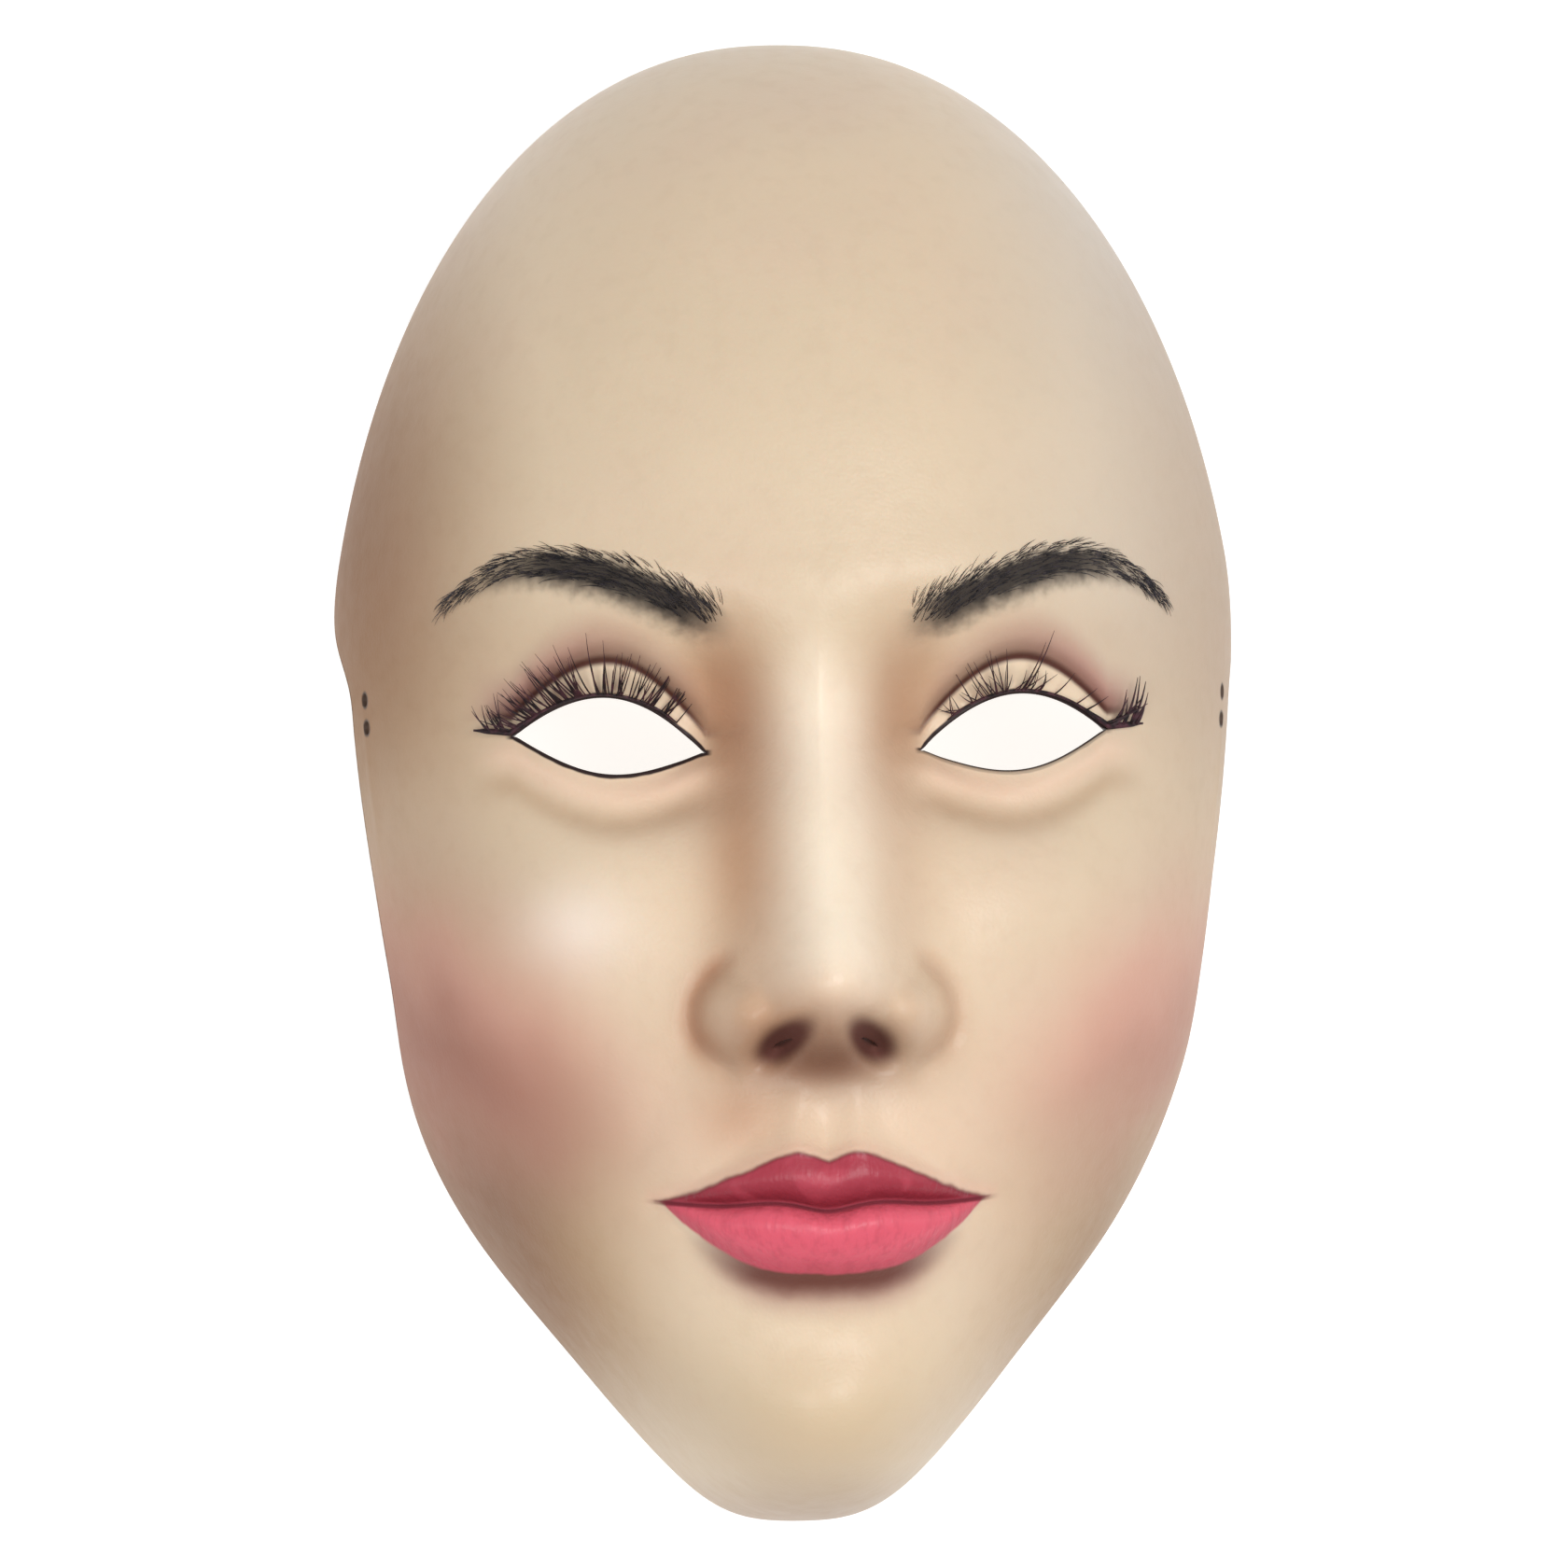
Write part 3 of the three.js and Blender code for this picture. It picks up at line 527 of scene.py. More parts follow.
def wallDirection(points):  # upright in the middle, square to the skin under the nose, level at the rim
    x, y, z = points.T
    turn = easeStep(*wall["turning"], np.hypot(x / dome["halfWidth"], y / dome["halfHeight"]))
    up = z / wall["depth"] ** 2
    across, along = turn * x / dome["halfWidth"] ** 2, turn * y / dome["halfHeight"] ** 2
    return unit(np.stack([across, along - mound(x, y, *wall["underNose"]) * up, up], -1))


def insideOf(points, normals, inward, border):  # as far in as the wall is thick, more where the skin slants
    thickness = wall["thickness"] - mound(np.abs(points[:, 0]), points[:, 1], *wall["thinAtEye"])
    lean = np.clip(-(normals * inward).sum(1), wall["leastLean"], 1)
    lean[border] = 1
    return points + inward * (thickness * np.minimum(1 / lean, wall["mostStretch"]))[:, None]


def rimLoop(index):  # the border of a grid of indices, the surface on its left
    return np.concatenate([index[0, :-1], index[:-1, -1], index[-1, :0:-1], index[:0:-1, 0]])


def slitLoop(up, down, slit):
    row, low, high = slit
    return np.concatenate([up[row, low:high], down[row, high:low:-1]])


def makeShell():  # the outside, an inside of half as many rows and columns, and rounded edges between
    points, up, down, slits = outerSurface()
    quads = gridQuads(up, down)
    normals = vertexNormals(points, quads)
    inward = -wallDirection(points)
    border = rimLoop(up)
    inside = insideOf(points, normals, inward, border)

    coarseUp, coarseDown = up[::2, ::2], down[::2, ::2]
    kept = np.unique(np.concatenate([coarseUp.ravel(), coarseDown.ravel()]))
    renumber = np.full(len(points), -1)
    renumber[kept] = len(points) + np.arange(len(kept))
    allPoints = [points, inside[kept]]
    count = len(points) + len(kept)
    faces = [quads, renumber[gridQuads(coarseUp, coarseDown)][:, ::-1]]
    slots = [np.zeros(len(quads), int), np.ones(len(faces[1]), int)]

    # cut edges: a quarter turn from the outside inwards, then the wall down to the coarser inside
    for number, loop in enumerate([border] + [slitLoop(up, down, slit) for slit in slits]):
        ring = points[loop]
        along = unit(np.roll(ring, -1, 0) - np.roll(ring, 1, 0))
        away = unit(np.cross(along, normals[loop]))
        slot = 1 if number == 0 else 0
        if number == 0:
            radius = np.full(len(loop), wall["rimRadius"])
            away = unit(np.where(ring[:, 2:] < wall["onFloor"], [[0, 0, -1]], away))
            ring = ring - away * radius[:, None]
            points[loop] = ring
        else:
            gap = np.linalg.norm(ring - np.roll(ring[::-1], 1, 0), axis=1)
            radius = np.clip(wall["gapShare"] * gap, *wall["openingRadius"])
        previous = loop
        for turn in np.radians(wall["edgeTurns"]):
            bulge = away * np.sin(turn) + inward[loop] * (1 - np.cos(turn))
            allPoints.append(ring + bulge * radius[:, None])
            current = count + np.arange(len(loop))
            count += len(loop)
            faces.append(np.stack([previous, current, np.roll(current, -1), np.roll(previous, -1)], -1))
            slots.append(np.full(len(loop), slot))
            previous = current
        inner = renumber[loop[::2]]
        first, second, third = previous[::2], previous[1::2], np.roll(previous, -2)[::2]
        faces.append(np.stack([first, inner, second], -1))
        faces.append(np.stack([second, inner, np.roll(inner, -1), third], -1))
        slots += [np.full(len(inner), slot)] * 2
    return np.concatenate(allPoints), faces, np.concatenate(slots)


def putMesh(name, points, faces, slots=None):  # faces in groups with a column for each corner
    loops = np.concatenate([group.ravel() for group in faces])
    sizes = np.concatenate([np.full(len(group), group.shape[1]) for group in faces])
    starts = np.cumsum(sizes) - sizes
    mesh = bpy.data.meshes.new(name)
    mesh.vertices.add(len(points))
    mesh.vertices.foreach_set("co", (points * mm).astype(np.float32).ravel())
    mesh.loops.add(len(loops))
    mesh.loops.foreach_set("vertex_index", loops.astype(np.int32))
    mesh.polygons.add(len(starts))
    mesh.polygons.foreach_set("loop_start", starts.astype(np.int32))
    mesh.polygons.foreach_set("use_smooth", np.ones(len(starts), bool))
    if slots is not None:
        mesh.polygons.foreach_set("material_index", slots.astype(np.int32))
    mesh.update(calc_edges=True)
    mesh.validate()
    piece = bpy.data.objects.new(name, mesh)
    bpy.context.collection.objects.link(piece)
    return piece


def readPoints(mesh):
    places = np.empty(len(mesh.vertices) * 3, np.float32)
    mesh.vertices.foreach_get("co", places)
    return places.reshape(-1, 3) / mm


# material building

class Wire:  # a socket of a shader tree; arithmetic on it adds Math nodes
    def __init__(self, tree, socket=None):
        self.tree = tree
        self.socket = socket

    def add(self, kind, settings=None, sockets=None, out=0):  # any node: settings first, then values or links
        node = self.tree.nodes.new(kind)
        for name, value in (settings or {}).items():
            setattr(node, name, value)
        for name, value in (sockets or {}).items():
            if isinstance(value, Wire):
                self.tree.links.new(value.socket, node.inputs[name])
            else:
                node.inputs[name].default_value = value
        return Wire(self.tree, node.outputs[out]) if node.outputs else None

    def maths(self, operation, *values):
        return self.add("ShaderNodeMath", {"operation": operation}, dict(enumerate(values)))

    def __add__(self, other):
        return self.maths("ADD", self, other)

    def __sub__(self, other):
        return self.maths("SUBTRACT", self, other)

    def __rsub__(self, other):
        return self.maths("SUBTRACT", other, self)

    def __mul__(self, other):
        return self.maths("MULTIPLY", self, other)

    def __abs__(self):
        return self.maths("ABSOLUTE", self)

    __radd__ = __add__
    __rmul__ = __mul__

    def larger(self, other):
        return self.maths("MAXIMUM", self, other)

    def distance(self, dx, dy):
        return self.maths("SQRT", dx * dx + dy * dy)

    def field(self, name):
        return self.add("ShaderNodeAttribute", {"attribute_name": name}, out="Fac")

    def axis(self, name):  # in millimetres
        return self.add("ShaderNodeSeparateXYZ", None, {0: self}, name) * (1 / mm)

    def ramp(self, none, full, low=0, high=1):  # low before none, high past full, smooth between them
        sockets = {"Value": self, "From Min": none, "From Max": full, "To Min": low, "To Max": high}
        return self.add("ShaderNodeMapRange", {"interpolation_type": "SMOOTHSTEP"}, sockets)

    def band(self, start, full, fullEnd, end):  # 1 between the two places in the middle
        return self.ramp(start, full) * self.ramp(end, fullEnd)

    def bell(self, centre, spread):  # 1 at the centre, e to minus the square of the distance in spreads
        off = (self - centre) * (1 / spread)
        return self.maths("EXPONENT", off * off * -1)

    def dip(self, centre, spread, depth):  # 1 with a bell taken out of it
        return 1 - self.bell(centre, spread) * depth

    def blend(self, factor, low, high, kind="MIX"):  # from one colour to another
        low, high = (c if isinstance(c, Wire) else (*c, 1) for c in (low, high))
        settings = {"data_type": "RGBA", "blend_type": kind}
        return self.add("ShaderNodeMix", settings, {0: factor, 6: low, 7: high}, 2)

    def mix(self, factor, other, kind="MIX"):  # this colour towards another
        return self.blend(factor, self, other, kind)

    def noise(self, size, detail=3.0, roughness=0.5):  # self is a place in metres, size is in millimetres
        sockets = {"Vector": self, "Scale": 1 / (size * mm), "Detail": detail, "Roughness": roughness}
        return self.add("ShaderNodeTexNoise", None, sockets)

    def jitter(self, size, detail, width):  # noise that goes as far below 0 as above it
        return (self.noise(size, detail) - 0.5) * width

    def stretched(self, scale):
        return self.add("ShaderNodeVectorMath", {"operation": "MULTIPLY"}, {0: self, 1: scale})


def startMaterial(name):
    material = bpy.data.materials.new(name)
    material.use_nodes = True
    material.node_tree.nodes.clear()
    tree = Wire(material.node_tree)
    place = tree.add("ShaderNodeTexCoord", out="Object")
    return material, tree, place


def finishMaterial(tree, values, bump=None):
    sockets = dict(values)
    if bump:
        height, distance = bump
        sockets["Normal"] = tree.add("ShaderNodeBump", None, {"Height": height, "Distance": distance * mm})
    shader = tree.add("ShaderNodeBsdfPrincipled", None, sockets)
    tree.add("ShaderNodeOutputMaterial", None, {"Surface": shader})


strap = {
    "y": [6.2, 10.6],
    "z": 32.0,
    "radius": 1.1,
    "reach": 12.0,
    "sides": 32,
    "search": (0.5, 0.95, 2000),  # shares of the half width between which the place is found
}

# the brow's line, which both the paint and the hairs follow

brow = {
    "at": [13.5, 20, 28, 36, 44, 51, 58],
    "y": [16.6, 19.2, 22.8, 25.6, 26.8, 25.2, 20.9],
    "half": [2.4, 3.3, 3.6, 3.3, 2.7, 1.9, 0.8],
    "core": {"hairs": 360, "length": 3.2, "radius": 0.060, "low": -0.55, "high": 0.6, "lean": 14},
    "edge": {"hairs": 210, "length": 2.9, "radius": 0.055, "low": 0.45, "high": 1.0, "lean": 26},
    "rootsFrom": 0.8,  # from the first station
    "rootsTo": 2.2,  # before the last one
    "innerLean": 34,  # degrees, dying away over a share of the brow
    "innerShare": 0.2,
    "outerLean": 18,
    "leanSpread": 7,
    "outerShorter": 0.3,
    "vary": (0.75, 1.15),
    "bend": 22,
    "taper": 0.75,
    "steps": 6,
    "density": 0.95,
    "lift": 0.3,
    "liftVary": (0.4, 1.0),
    "arch": {"least": 0.25, "from": 0.15, "span": 0.75},  # part of a half wave
    "rootDepth": 0.12,
}


def browLine(side):
    return stations(side, brow["at"], brow["y"])


def browHalf(side):
    return stations(side, brow["at"], brow["half"])


lipPaint = {"slant": 1.6, "past": 0.6}  # how fast the paint's corners close, and how far past the lips


def paintFields(points):  # distances in millimetres that the paint follows, read by the material
    x, y = points[:, 0], points[:, 1]
    side = np.abs(x)
    lipReach = lipPaint["slant"] * (mouth["half"] + lipPaint["past"] - side)
    return {
        "lipInset": np.minimum(np.minimum(lipTop(x) - y, y - lipBase(x)), lipReach),
        "mouthOff": y - mouthLine(x),
        "upperLidOff": y - upperLid(x),
        "lowerLidOff": lowerLid(x) - y,
        "creaseOff": y - lidCrease(x),
        "sideShare": side / halfWidthAt(y),
        "browAlong": (side - brow["at"][0]) / (brow["at"][-1] - brow["at"][0]),
        "browAcross": (y - browLine(side)) / browHalf(side),
        "nostrilShare": nostrilShare(side, y),
    }


paint = {  # colours that cover
    "skin": (0.695, 0.555, 0.395),
    "light": (0.775, 0.615, 0.445),
    # pale: the painted highlight down the nose
    "pale": (0.96, 0.83, 0.665),
    "pink": (0.69, 0.50, 0.39),
    # cool: a painted sheen on the right side
    "cool": (0.60, 0.52, 0.44),
    "tan": (0.66, 0.50, 0.32),
    # umber: the painted shade under the nose
    "umber": (0.19, 0.085, 0.052),
    "rosy": (0.76, 0.40, 0.31),
    "blush": (0.37, 0.160, 0.108),
    # glow: the painted highlight on the left cheek
    "glow": (0.94, 0.83, 0.73),
    # shadow: eye shadow, and the painted shadow below the lips
    "shadow": (0.40, 0.190, 0.165),
    "lipUpper": (0.33, 0.036, 0.056),
    "lipLower": (0.73, 0.115, 0.165),
    # lipLine: the lip outline, and painted shade in and over the parting
    "lipLine": (0.115, 0.012, 0.020),
    # underLip: the painted shadow right under the lower lip
    "underLip": (0.15, 0.045, 0.032),
    "liner": (0.028, 0.016, 0.016),
    "creaseLine": (0.080, 0.020, 0.015),
    "lid": (0.80, 0.64, 0.47),
    "lowerLid": (0.80, 0.56, 0.42),
    "hair": (0.010, 0.008, 0.010),
    # deep: the painted shade in the nostrils
    "deep": (0.10, 0.030, 0.024),
    # hole: the painted shade round and inside the strap holes
    "hole": (0.07, 0.045, 0.035),
}
glaze = {  # colours that darken what is under them
    # brown: flecks in the latex, and painted shade at the edges, temple, chin, cheeks and eyes
    "brown": (0.50, 0.33, 0.215),
    "olive": (0.57, 0.395, 0.20),
    # warm: painted shade beside the nose, in the sockets and eye corners, by the mouth and round the wings
    "warm": (0.64, 0.43, 0.33),
    "crease": (0.58, 0.36, 0.27),
}

# each coat: its colour, how much of it, and the shapes whose product masks it, over x, y, side or a field
coats = {
    # a painted highlight down the bridge of the nose
    "bridgeHighlight": ("pale", 0.85, ("side", "bell", 0, 9.0), ("y", "band", -50, -34, 0, 18)),
    # painted light: the top of the forehead lighter
    "crown": ("light", 0.6, ("y", "ramp", 45, 110)),
    "pinkBlotches": ("pink", 0.20, ("blotch", "ramp", 0.42, 0.70)),
    "paleBlotches": ("light", 0.20, ("patch", "ramp", 0.46, 0.72)),
    "flecks": ("brown", 0.045, ("fleck", "ramp", 0.45, 0.75)),
    # a cool painted sheen on the right side, stronger towards the crown
    "rightTemple": ("cool", 1, ("x", "ramp", 15, 55), ("y", "ramp", -20, 30),
                    ("y", "ramp", 40, 100, 0.5, 0.85)),
    # painted shade at the edges over airbrushed contour, heavier on the left, less on the lit cheekbone
    "edge": ("brown", 1, ("sideShare", "ramp", 0.52, 0.98), ("x", "ramp", 35, -65, 0.46, 1),
             ("y", "dip", -12, 15, 0.45)),
    # painted shade on the left temple
    "leftTemple": ("brown", 0.35, ("x", "ramp", -36, -68), ("y", "bell", 40, 26)),
    # an olive contour along the jaw, with painted shade there, a little heavier on the left
    "jaw": ("olive", 1, ("y", "ramp", -48, -84), ("sideShare", "ramp", 0.35, 0.85),
            ("sideShare", "ramp", 0.80, 0.96, 1, 0.2), ("x", "ramp", 35, -65, 0.784, 1)),
    "chin": ("tan", 0.70, ("y", "ramp", -84, -112)),
    # painted shade under the chin
    "underChin": ("brown", 0.6, ("y", "ramp", -110, -121)),
    # painted shade beside the nose over a contour, heavier on the left
    "noseSide": ("warm", 1, ("side", "bell", 12.0, 6.4), ("y", "bell", -18, 24),
                 ("x", "ramp", 6, -6, 0.34, 0.82)),
    # painted shade in the sockets, a little heavier on the left, and under the brows
    "socket": ("warm", 1, ("side", "bell", 15, 8), ("y", "bell", 8, 11), ("x", "ramp", 6, -6, 0.65, 0.80)),
    "underBrow": ("warm", 1, ("side", "bell", 33, 16), ("y", "bell", 14, 6)),
    # painted shade in the inner corners of the eyes
    "eyeCorner": ("warm", 0.42, ("side", "bell", 12, 4.5), ("y", "bell", 1, 9)),
    # painted shade between the nose and the mouth, on the left only
    "besideGroove": ("warm", 0.6, ("x", "bell", -13, 7), ("y", "bell", -58, 6)),
    # a painted highlight on the left cheek
    "cheekHighlight": ("glow", 0.62, ("x", "bell", -37, 8.0), ("y", "bell", -29, 7.0)),
    # painted shade below the cheekbones over a contour, heavier on the left
    "belowCheek": ("brown", 1, ("side", "bell", 46, 15), ("y", "bell", -62, 15),
                   ("x", "ramp", 35, -65, 0.225, 0.63)),
    "blushBorder": ("rosy", 0.82, ("blushAlong", "bell", 13, 26), ("blushAcross", "bell", -65, 12)),
    # the mauve middle, deeper on the left as painted shade
    "blushMiddle": ("blush", 1, ("blushAlong", "bell", 13, 26), ("blushAcross", "bell", -71, 10),
                    ("leftward", "ramp", -0.4, 1.15)),
    "lid": ("lid", 0.8, ("upperLidOff", "ramp", 0.1, 0.8), ("creaseOff", "ramp", 0.2, -0.6),
            ("side", "band", 14, 21, 45, 54)),
    "eyeShadow": ("shadow", 1, ("creaseOff", "band", -0.8, 0.6, 0.9, 8.5), ("side", "band", 14, 21, 45, 54),
                  ("side", "ramp", 24, 46, 0.38, 0.88)),
    "creaseLine": ("creaseLine", 1, ("creaseOff", "ramp", -1.1, -0.1), ("side", "band", 13.5, 20, 45, 51)),
    "underEye": ("lowerLid", 0.55, ("lowerLidOff", "bell", 3.0, 2.4), ("side", "band", 14, 21, 45, 54)),
    # painted shade in the hollow below the eye
    "eyeHollow": ("brown", 0.35, ("lowerLidOff", "bell", 7.6, 2.4), ("side", "band", 14, 21, 45, 54)),
    "liner": ("liner", 1, ("offEye", "ramp", 0.6, 0.25), ("side", "band", 15.4, 16.4, 46.0, 47.2),
              ("awayY", "ramp", 12, 10)),
    # painted shade round the lower wings of the nose, heavier on the left
    "wings": ("warm", 1, ("side", "bell", 4, 15), ("y", "bell", -46, 7), ("x", "ramp", 8, -8, 0.5, 0.85)),
    # painted shade in the groove round each wing, heavier on the left
    "wingCrease": ("crease", 1, ("fromWing", "bell", 8.4, 2.3), ("side", "ramp", 12, 17),
                   ("y", "ramp", -53, -46), ("x", "ramp", 8, -8, 0.40, 0.75)),
    # painted shade under the tip of the nose
    "underNose": ("umber", 0.95, ("side", "bell", 0, 12.5), ("y", "bell", -50, 5.2)),
    # painted shade in the nostrils
    "nostril": ("deep", 0.95, ("nostrilShare", "ramp", 0.15, 0.85)),
    "roundLips": ("rosy", 0.12, ("y", "bell", -62, 9), ("side", "ramp", 34, 12)),
    # a soft painted shadow below the lower lip
    "lipShadow": ("shadow", 0.75, ("inset", "ramp", -8.0, -1.4), ("mouthOff", "ramp", -3, -6),
                  ("side", "ramp", 23, 9)),
    # a dark painted shadow right under the lower lip
    "underLip": ("underLip", 0.97, ("inset", "ramp", -4.9, -0.9), ("mouthOff", "ramp", -3, -6),
                 ("side", "ramp", 23, 9)),
    "ridges": ("lipUpper", 0.22, ("ridge", "ramp", 0.42, 0.7)),
    "lipPatches": ("lipLower", 0.25, ("smudge", "ramp", 0.5, 0.75)),
    "lipSides": ("lipUpper", 0.45, ("inset", "ramp", 3.4, 0.2)),
    # painted light: the top of the upper lip lighter
    "lipTop": ("lipLower", 0.16, ("mouthOff", "ramp", 1.6, 4.6)),
    # painted shade on the upper lip where it turns in to the parting
    "overParting": ("lipLine", 0.30, ("mouthOff", "band", -0.3, 0.2, 0.2, 2.4)),
    "overLips": ("rosy", 0.3, ("inset", "ramp", -3.2, 0.2), ("mouthOff", "ramp", -2, 1)),
    "lipOutline": ("lipLine", 0.6, ("inset", "bell", 0.15, 0.38), ("mouthOff", "ramp", -1.5, 0.5)),
    # painted shade in the parting between the lips
    "parting": ("lipLine", 0.85, ("offParting", "ramp", 0.58, 0.12), ("side", "ramp", 27.5, 23)),
    "brow": ("hair", 0.94, ("browEdge", "band", -1.6, -0.25, 0.45, 1.05),
             ("browAlong", "band", -0.05, 0.16, 0.58, 1.02)),
    # painted shade round and inside each strap hole
    "strapHole": ("hole", 0.92, ("fromHole", "ramp", 1.7, 1.1), ("side", "ramp", 50, 60)),
}
latex = {
    "noises": {"blotch": (34, 1), "patch": (19, 1), "fleck": (3.2, 2), "smudge": (5, 1)},  # size, detail
    "grain": [(0.55, 0, 0.5, 0.6), (1.7, 1, 0.55, 0.8), (9, 0, 0.5, 3.0)],  # size, detail, roughness, height
    # painted light: where the middle of the face is made lighter, most on the left
    "middle": [("side", "ramp", 60, 22), ("y", "band", -104, -84, -8, 16), ("x", "ramp", 5, 45, 0.85, 0.25)],
    "unlined": [("x", "ramp", -5, 5), ("lowerLidOff", "ramp", -0.2, 0.2, 0, 0.6)],  # below the right eye
    # how much heavier the painted shade is on the left, going by x
    "leftward": (35, -65, 0.46, 1),
    "drift": (18, 1, 8),  # size, detail, width of the wandering of each border
    "linerDrift": (3, 1, 0.4),
    "lipDrift": (4.0, 2, 0.9),
    "browDrift": (2.0, 2, 0.7),
    "ridge": (1.3, 2, 0.6),
    "ridgeStretch": (1.0, 0.22, 1.0),
    "blushTurn": (0.776, 0.632),  # cosine and sine of the blush's slope
    "partingOff": 0.15,
    "foldInner": (1.1, 0.1, 0, 0.6),
    "foldOuter": (3.4, 0.1, 0, 0.35),
    "underBrowShare": 0.28,
    "onLips": (-0.15, 0.45),
    "lipEnds": (-0.6, 0.9),
    "ridgeHeight": 4.0,
    "bump": 0.055,
    "roughness": 0.38,
    "fleckRoughness": 0.14,
    "edgeRoughness": (0.6, 0.95, 0, 0.15),
    "paintRoughness": 0.5,  # more on brows, parting and nostrils
}


def shapeMask(axes, shapes):  # the product of the shapes
    mask = None
    for axis, shape, *numbers in shapes:
        term = getattr(axes[axis], shape)(*numbers)
        mask = term if mask is None else mask * term
    return mask


def coatMask(axes, name):
    return shapeMask(axes, coats[name][2:])


def layMask(colour, name, mask):
    pigment, amount = coats[name][:2]
    mask = mask if amount == 1 else mask * amount
    if pigment in glaze:
        return colour.mix(mask, glaze[pigment], "MULTIPLY")
    return colour.mix(mask, paint[pigment])


def layCoats(colour, axes, first, last=None):  # the coats from the first name to the last
    names = list(coats)
    for name in names[names.index(first):names.index(last or first) + 1]:
        colour = layMask(colour, name, coatMask(axes, name))
    return colour


def paintedLatex():
    material, tree, place = startMaterial("painted_latex")
    x, y, z = (place.axis(name) for name in "XYZ")
    side = abs(x)
    fields = ("mouthOff", "upperLidOff", "lowerLidOff", "creaseOff", "sideShare", "browAlong", "nostrilShare")
    axes = {name: tree.field(name) for name in fields}
    axes.update({name: place.noise(*grain) for name, grain in latex["noises"].items()})
    axes.update({"x": x, "y": y, "side": side, "awayY": abs(y), "leftward": x.ramp(*latex["leftward"])})

    # skin: airbrushed coats with soft blotches; painted light makes the middle lighter, most on the left
    colour = tree.blend(shapeMask(axes, latex["middle"]), paint["skin"], paint["light"])
    # a painted highlight down the nose, the crown painted lighter, then blotches and flecks
    colour = layCoats(colour, axes, "bridgeHighlight", "flecks")

    # painted shade at the edges, below the cheeks, beside the nose and round the sockets, heavier on the left
    # a cool painted sheen on the right, then painted shade over an airbrushed contour
    colour = layCoats(colour, axes, "rightTemple", "noseSide")
    underBrow = coatMask(axes, "underBrow") * latex["underBrowShare"]
    colour = layMask(colour, "socket", coatMask(axes, "socket").larger(underBrow))
    # painted shade at the eye corners, by the mouth and below the cheeks; a painted highlight on the left
    # cheek
    colour = layCoats(colour, axes, "eyeCorner", "belowCheek")

    # blush, from under the cheekbone up to the edge: a rosy border above a mauve middle
    drift = place.jitter(*latex["drift"])
    cosine, sine = latex["blushTurn"]
    axes["blushAlong"] = side * cosine + y * sine + drift
    axes["blushAcross"] = y * cosine - side * sine + drift
    # the blush's middle deeper on the left, painted shade
    colour = layCoats(colour, axes, "blushBorder", "blushMiddle")

    # a pale lid, a dark line in the crease with eye shadow above it, peach below the eye, a thin liner
    colour = layCoats(colour, axes, "lid", "eyeShadow")
    crease = axes["creaseOff"]
    fold = crease.ramp(*latex["foldInner"]) + crease.ramp(*latex["foldOuter"])
    colour = layMask(colour, "creaseLine", coatMask(axes, "creaseLine") * fold)
    # peach below the eye, then painted shade in the hollow under it
    colour = layCoats(colour, axes, "underEye", "eyeHollow")
    axes["offEye"] = axes["upperLidOff"].larger(axes["lowerLidOff"]) + place.jitter(*latex["linerDrift"])
    colour = layMask(colour, "liner", coatMask(axes, "liner") * (1 - shapeMask(axes, latex["unlined"])))

    # nose: brown-pink painted shade round the wings and under the tip, and dark painted shade in the nostrils
    axes["fromWing"] = tree.distance(side - nose["wingSide"], y - nose["wingY"])
    colour = layCoats(colour, axes, "wings", "underNose")
    hollow = coatMask(axes, "nostril")
    colour = layMask(colour, "nostril", hollow)

    # lips: a rosy skin round them, two reds, fine ridges, a dark outline above and painted shade in the
    # parting
    axes["inset"] = tree.field("lipInset") + place.jitter(*latex["lipDrift"])
    axes["ridge"] = place.stretched(latex["ridgeStretch"]).noise(*latex["ridge"])
    # a rosy skin round the lips and a painted shadow under the lower lip
    colour = layCoats(colour, axes, "roundLips", "underLip")
    lip = tree.blend(axes["mouthOff"].ramp(*latex["lipEnds"]), paint["lipLower"], paint["lipUpper"])
    # the upper lip lighter at the top as painted light and darker towards the parting as painted shade
    lip = layCoats(lip, axes, "ridges", "overParting")
    colour = layCoats(colour, axes, "overLips")
    colour = colour.mix(axes["inset"].ramp(*latex["onLips"]), lip)
    axes["offParting"] = abs(axes["mouthOff"] + latex["partingOff"])
    parting = coatMask(axes, "parting")
    colour = layCoats(colour, axes, "lipOutline")
    colour = layMask(colour, "parting", parting)

    # brows: a dark core, soft at the lower edge and left to the hairs at the upper one
    axes["browEdge"] = tree.field("browAcross") + place.jitter(*latex["browDrift"])
    browMask = coatMask(axes, "brow")
    colour = layMask(colour, "brow", browMask)

    # painted shade: a dark ring round and inside each strap hole
    for level in strap["y"]:  # a dark ring where the strap holes go through
        axes["fromHole"] = tree.distance(y - level, z - strap["z"])
        colour = layCoats(colour, axes, "strapHole")

    height = (axes["ridge"] - 0.5) * tree.field("lipInset").ramp(*latex["onLips"]) * latex["ridgeHeight"]
    for size, detail, roughness, rise in latex["grain"]:
        height = height + place.noise(size, detail, roughness) * rise
    roughness = (axes["fleck"] - 0.5) * latex["fleckRoughness"] + latex["roughness"]
    roughness = roughness + browMask.larger(parting.larger(hollow)) * latex["paintRoughness"]
    finishMaterial(tree, {
        "Base Color": colour,
        "Roughness": roughness + axes["sideShare"].ramp(*latex["edgeRoughness"]),
        "Subsurface Weight": 0.10,
        "Subsurface Radius": (0.0028, 0.0013, 0.0008),
        "Subsurface Scale": 1.0,
        "Specular IOR Level": 0.24,
    }, (height, latex["bump"]))
    return material


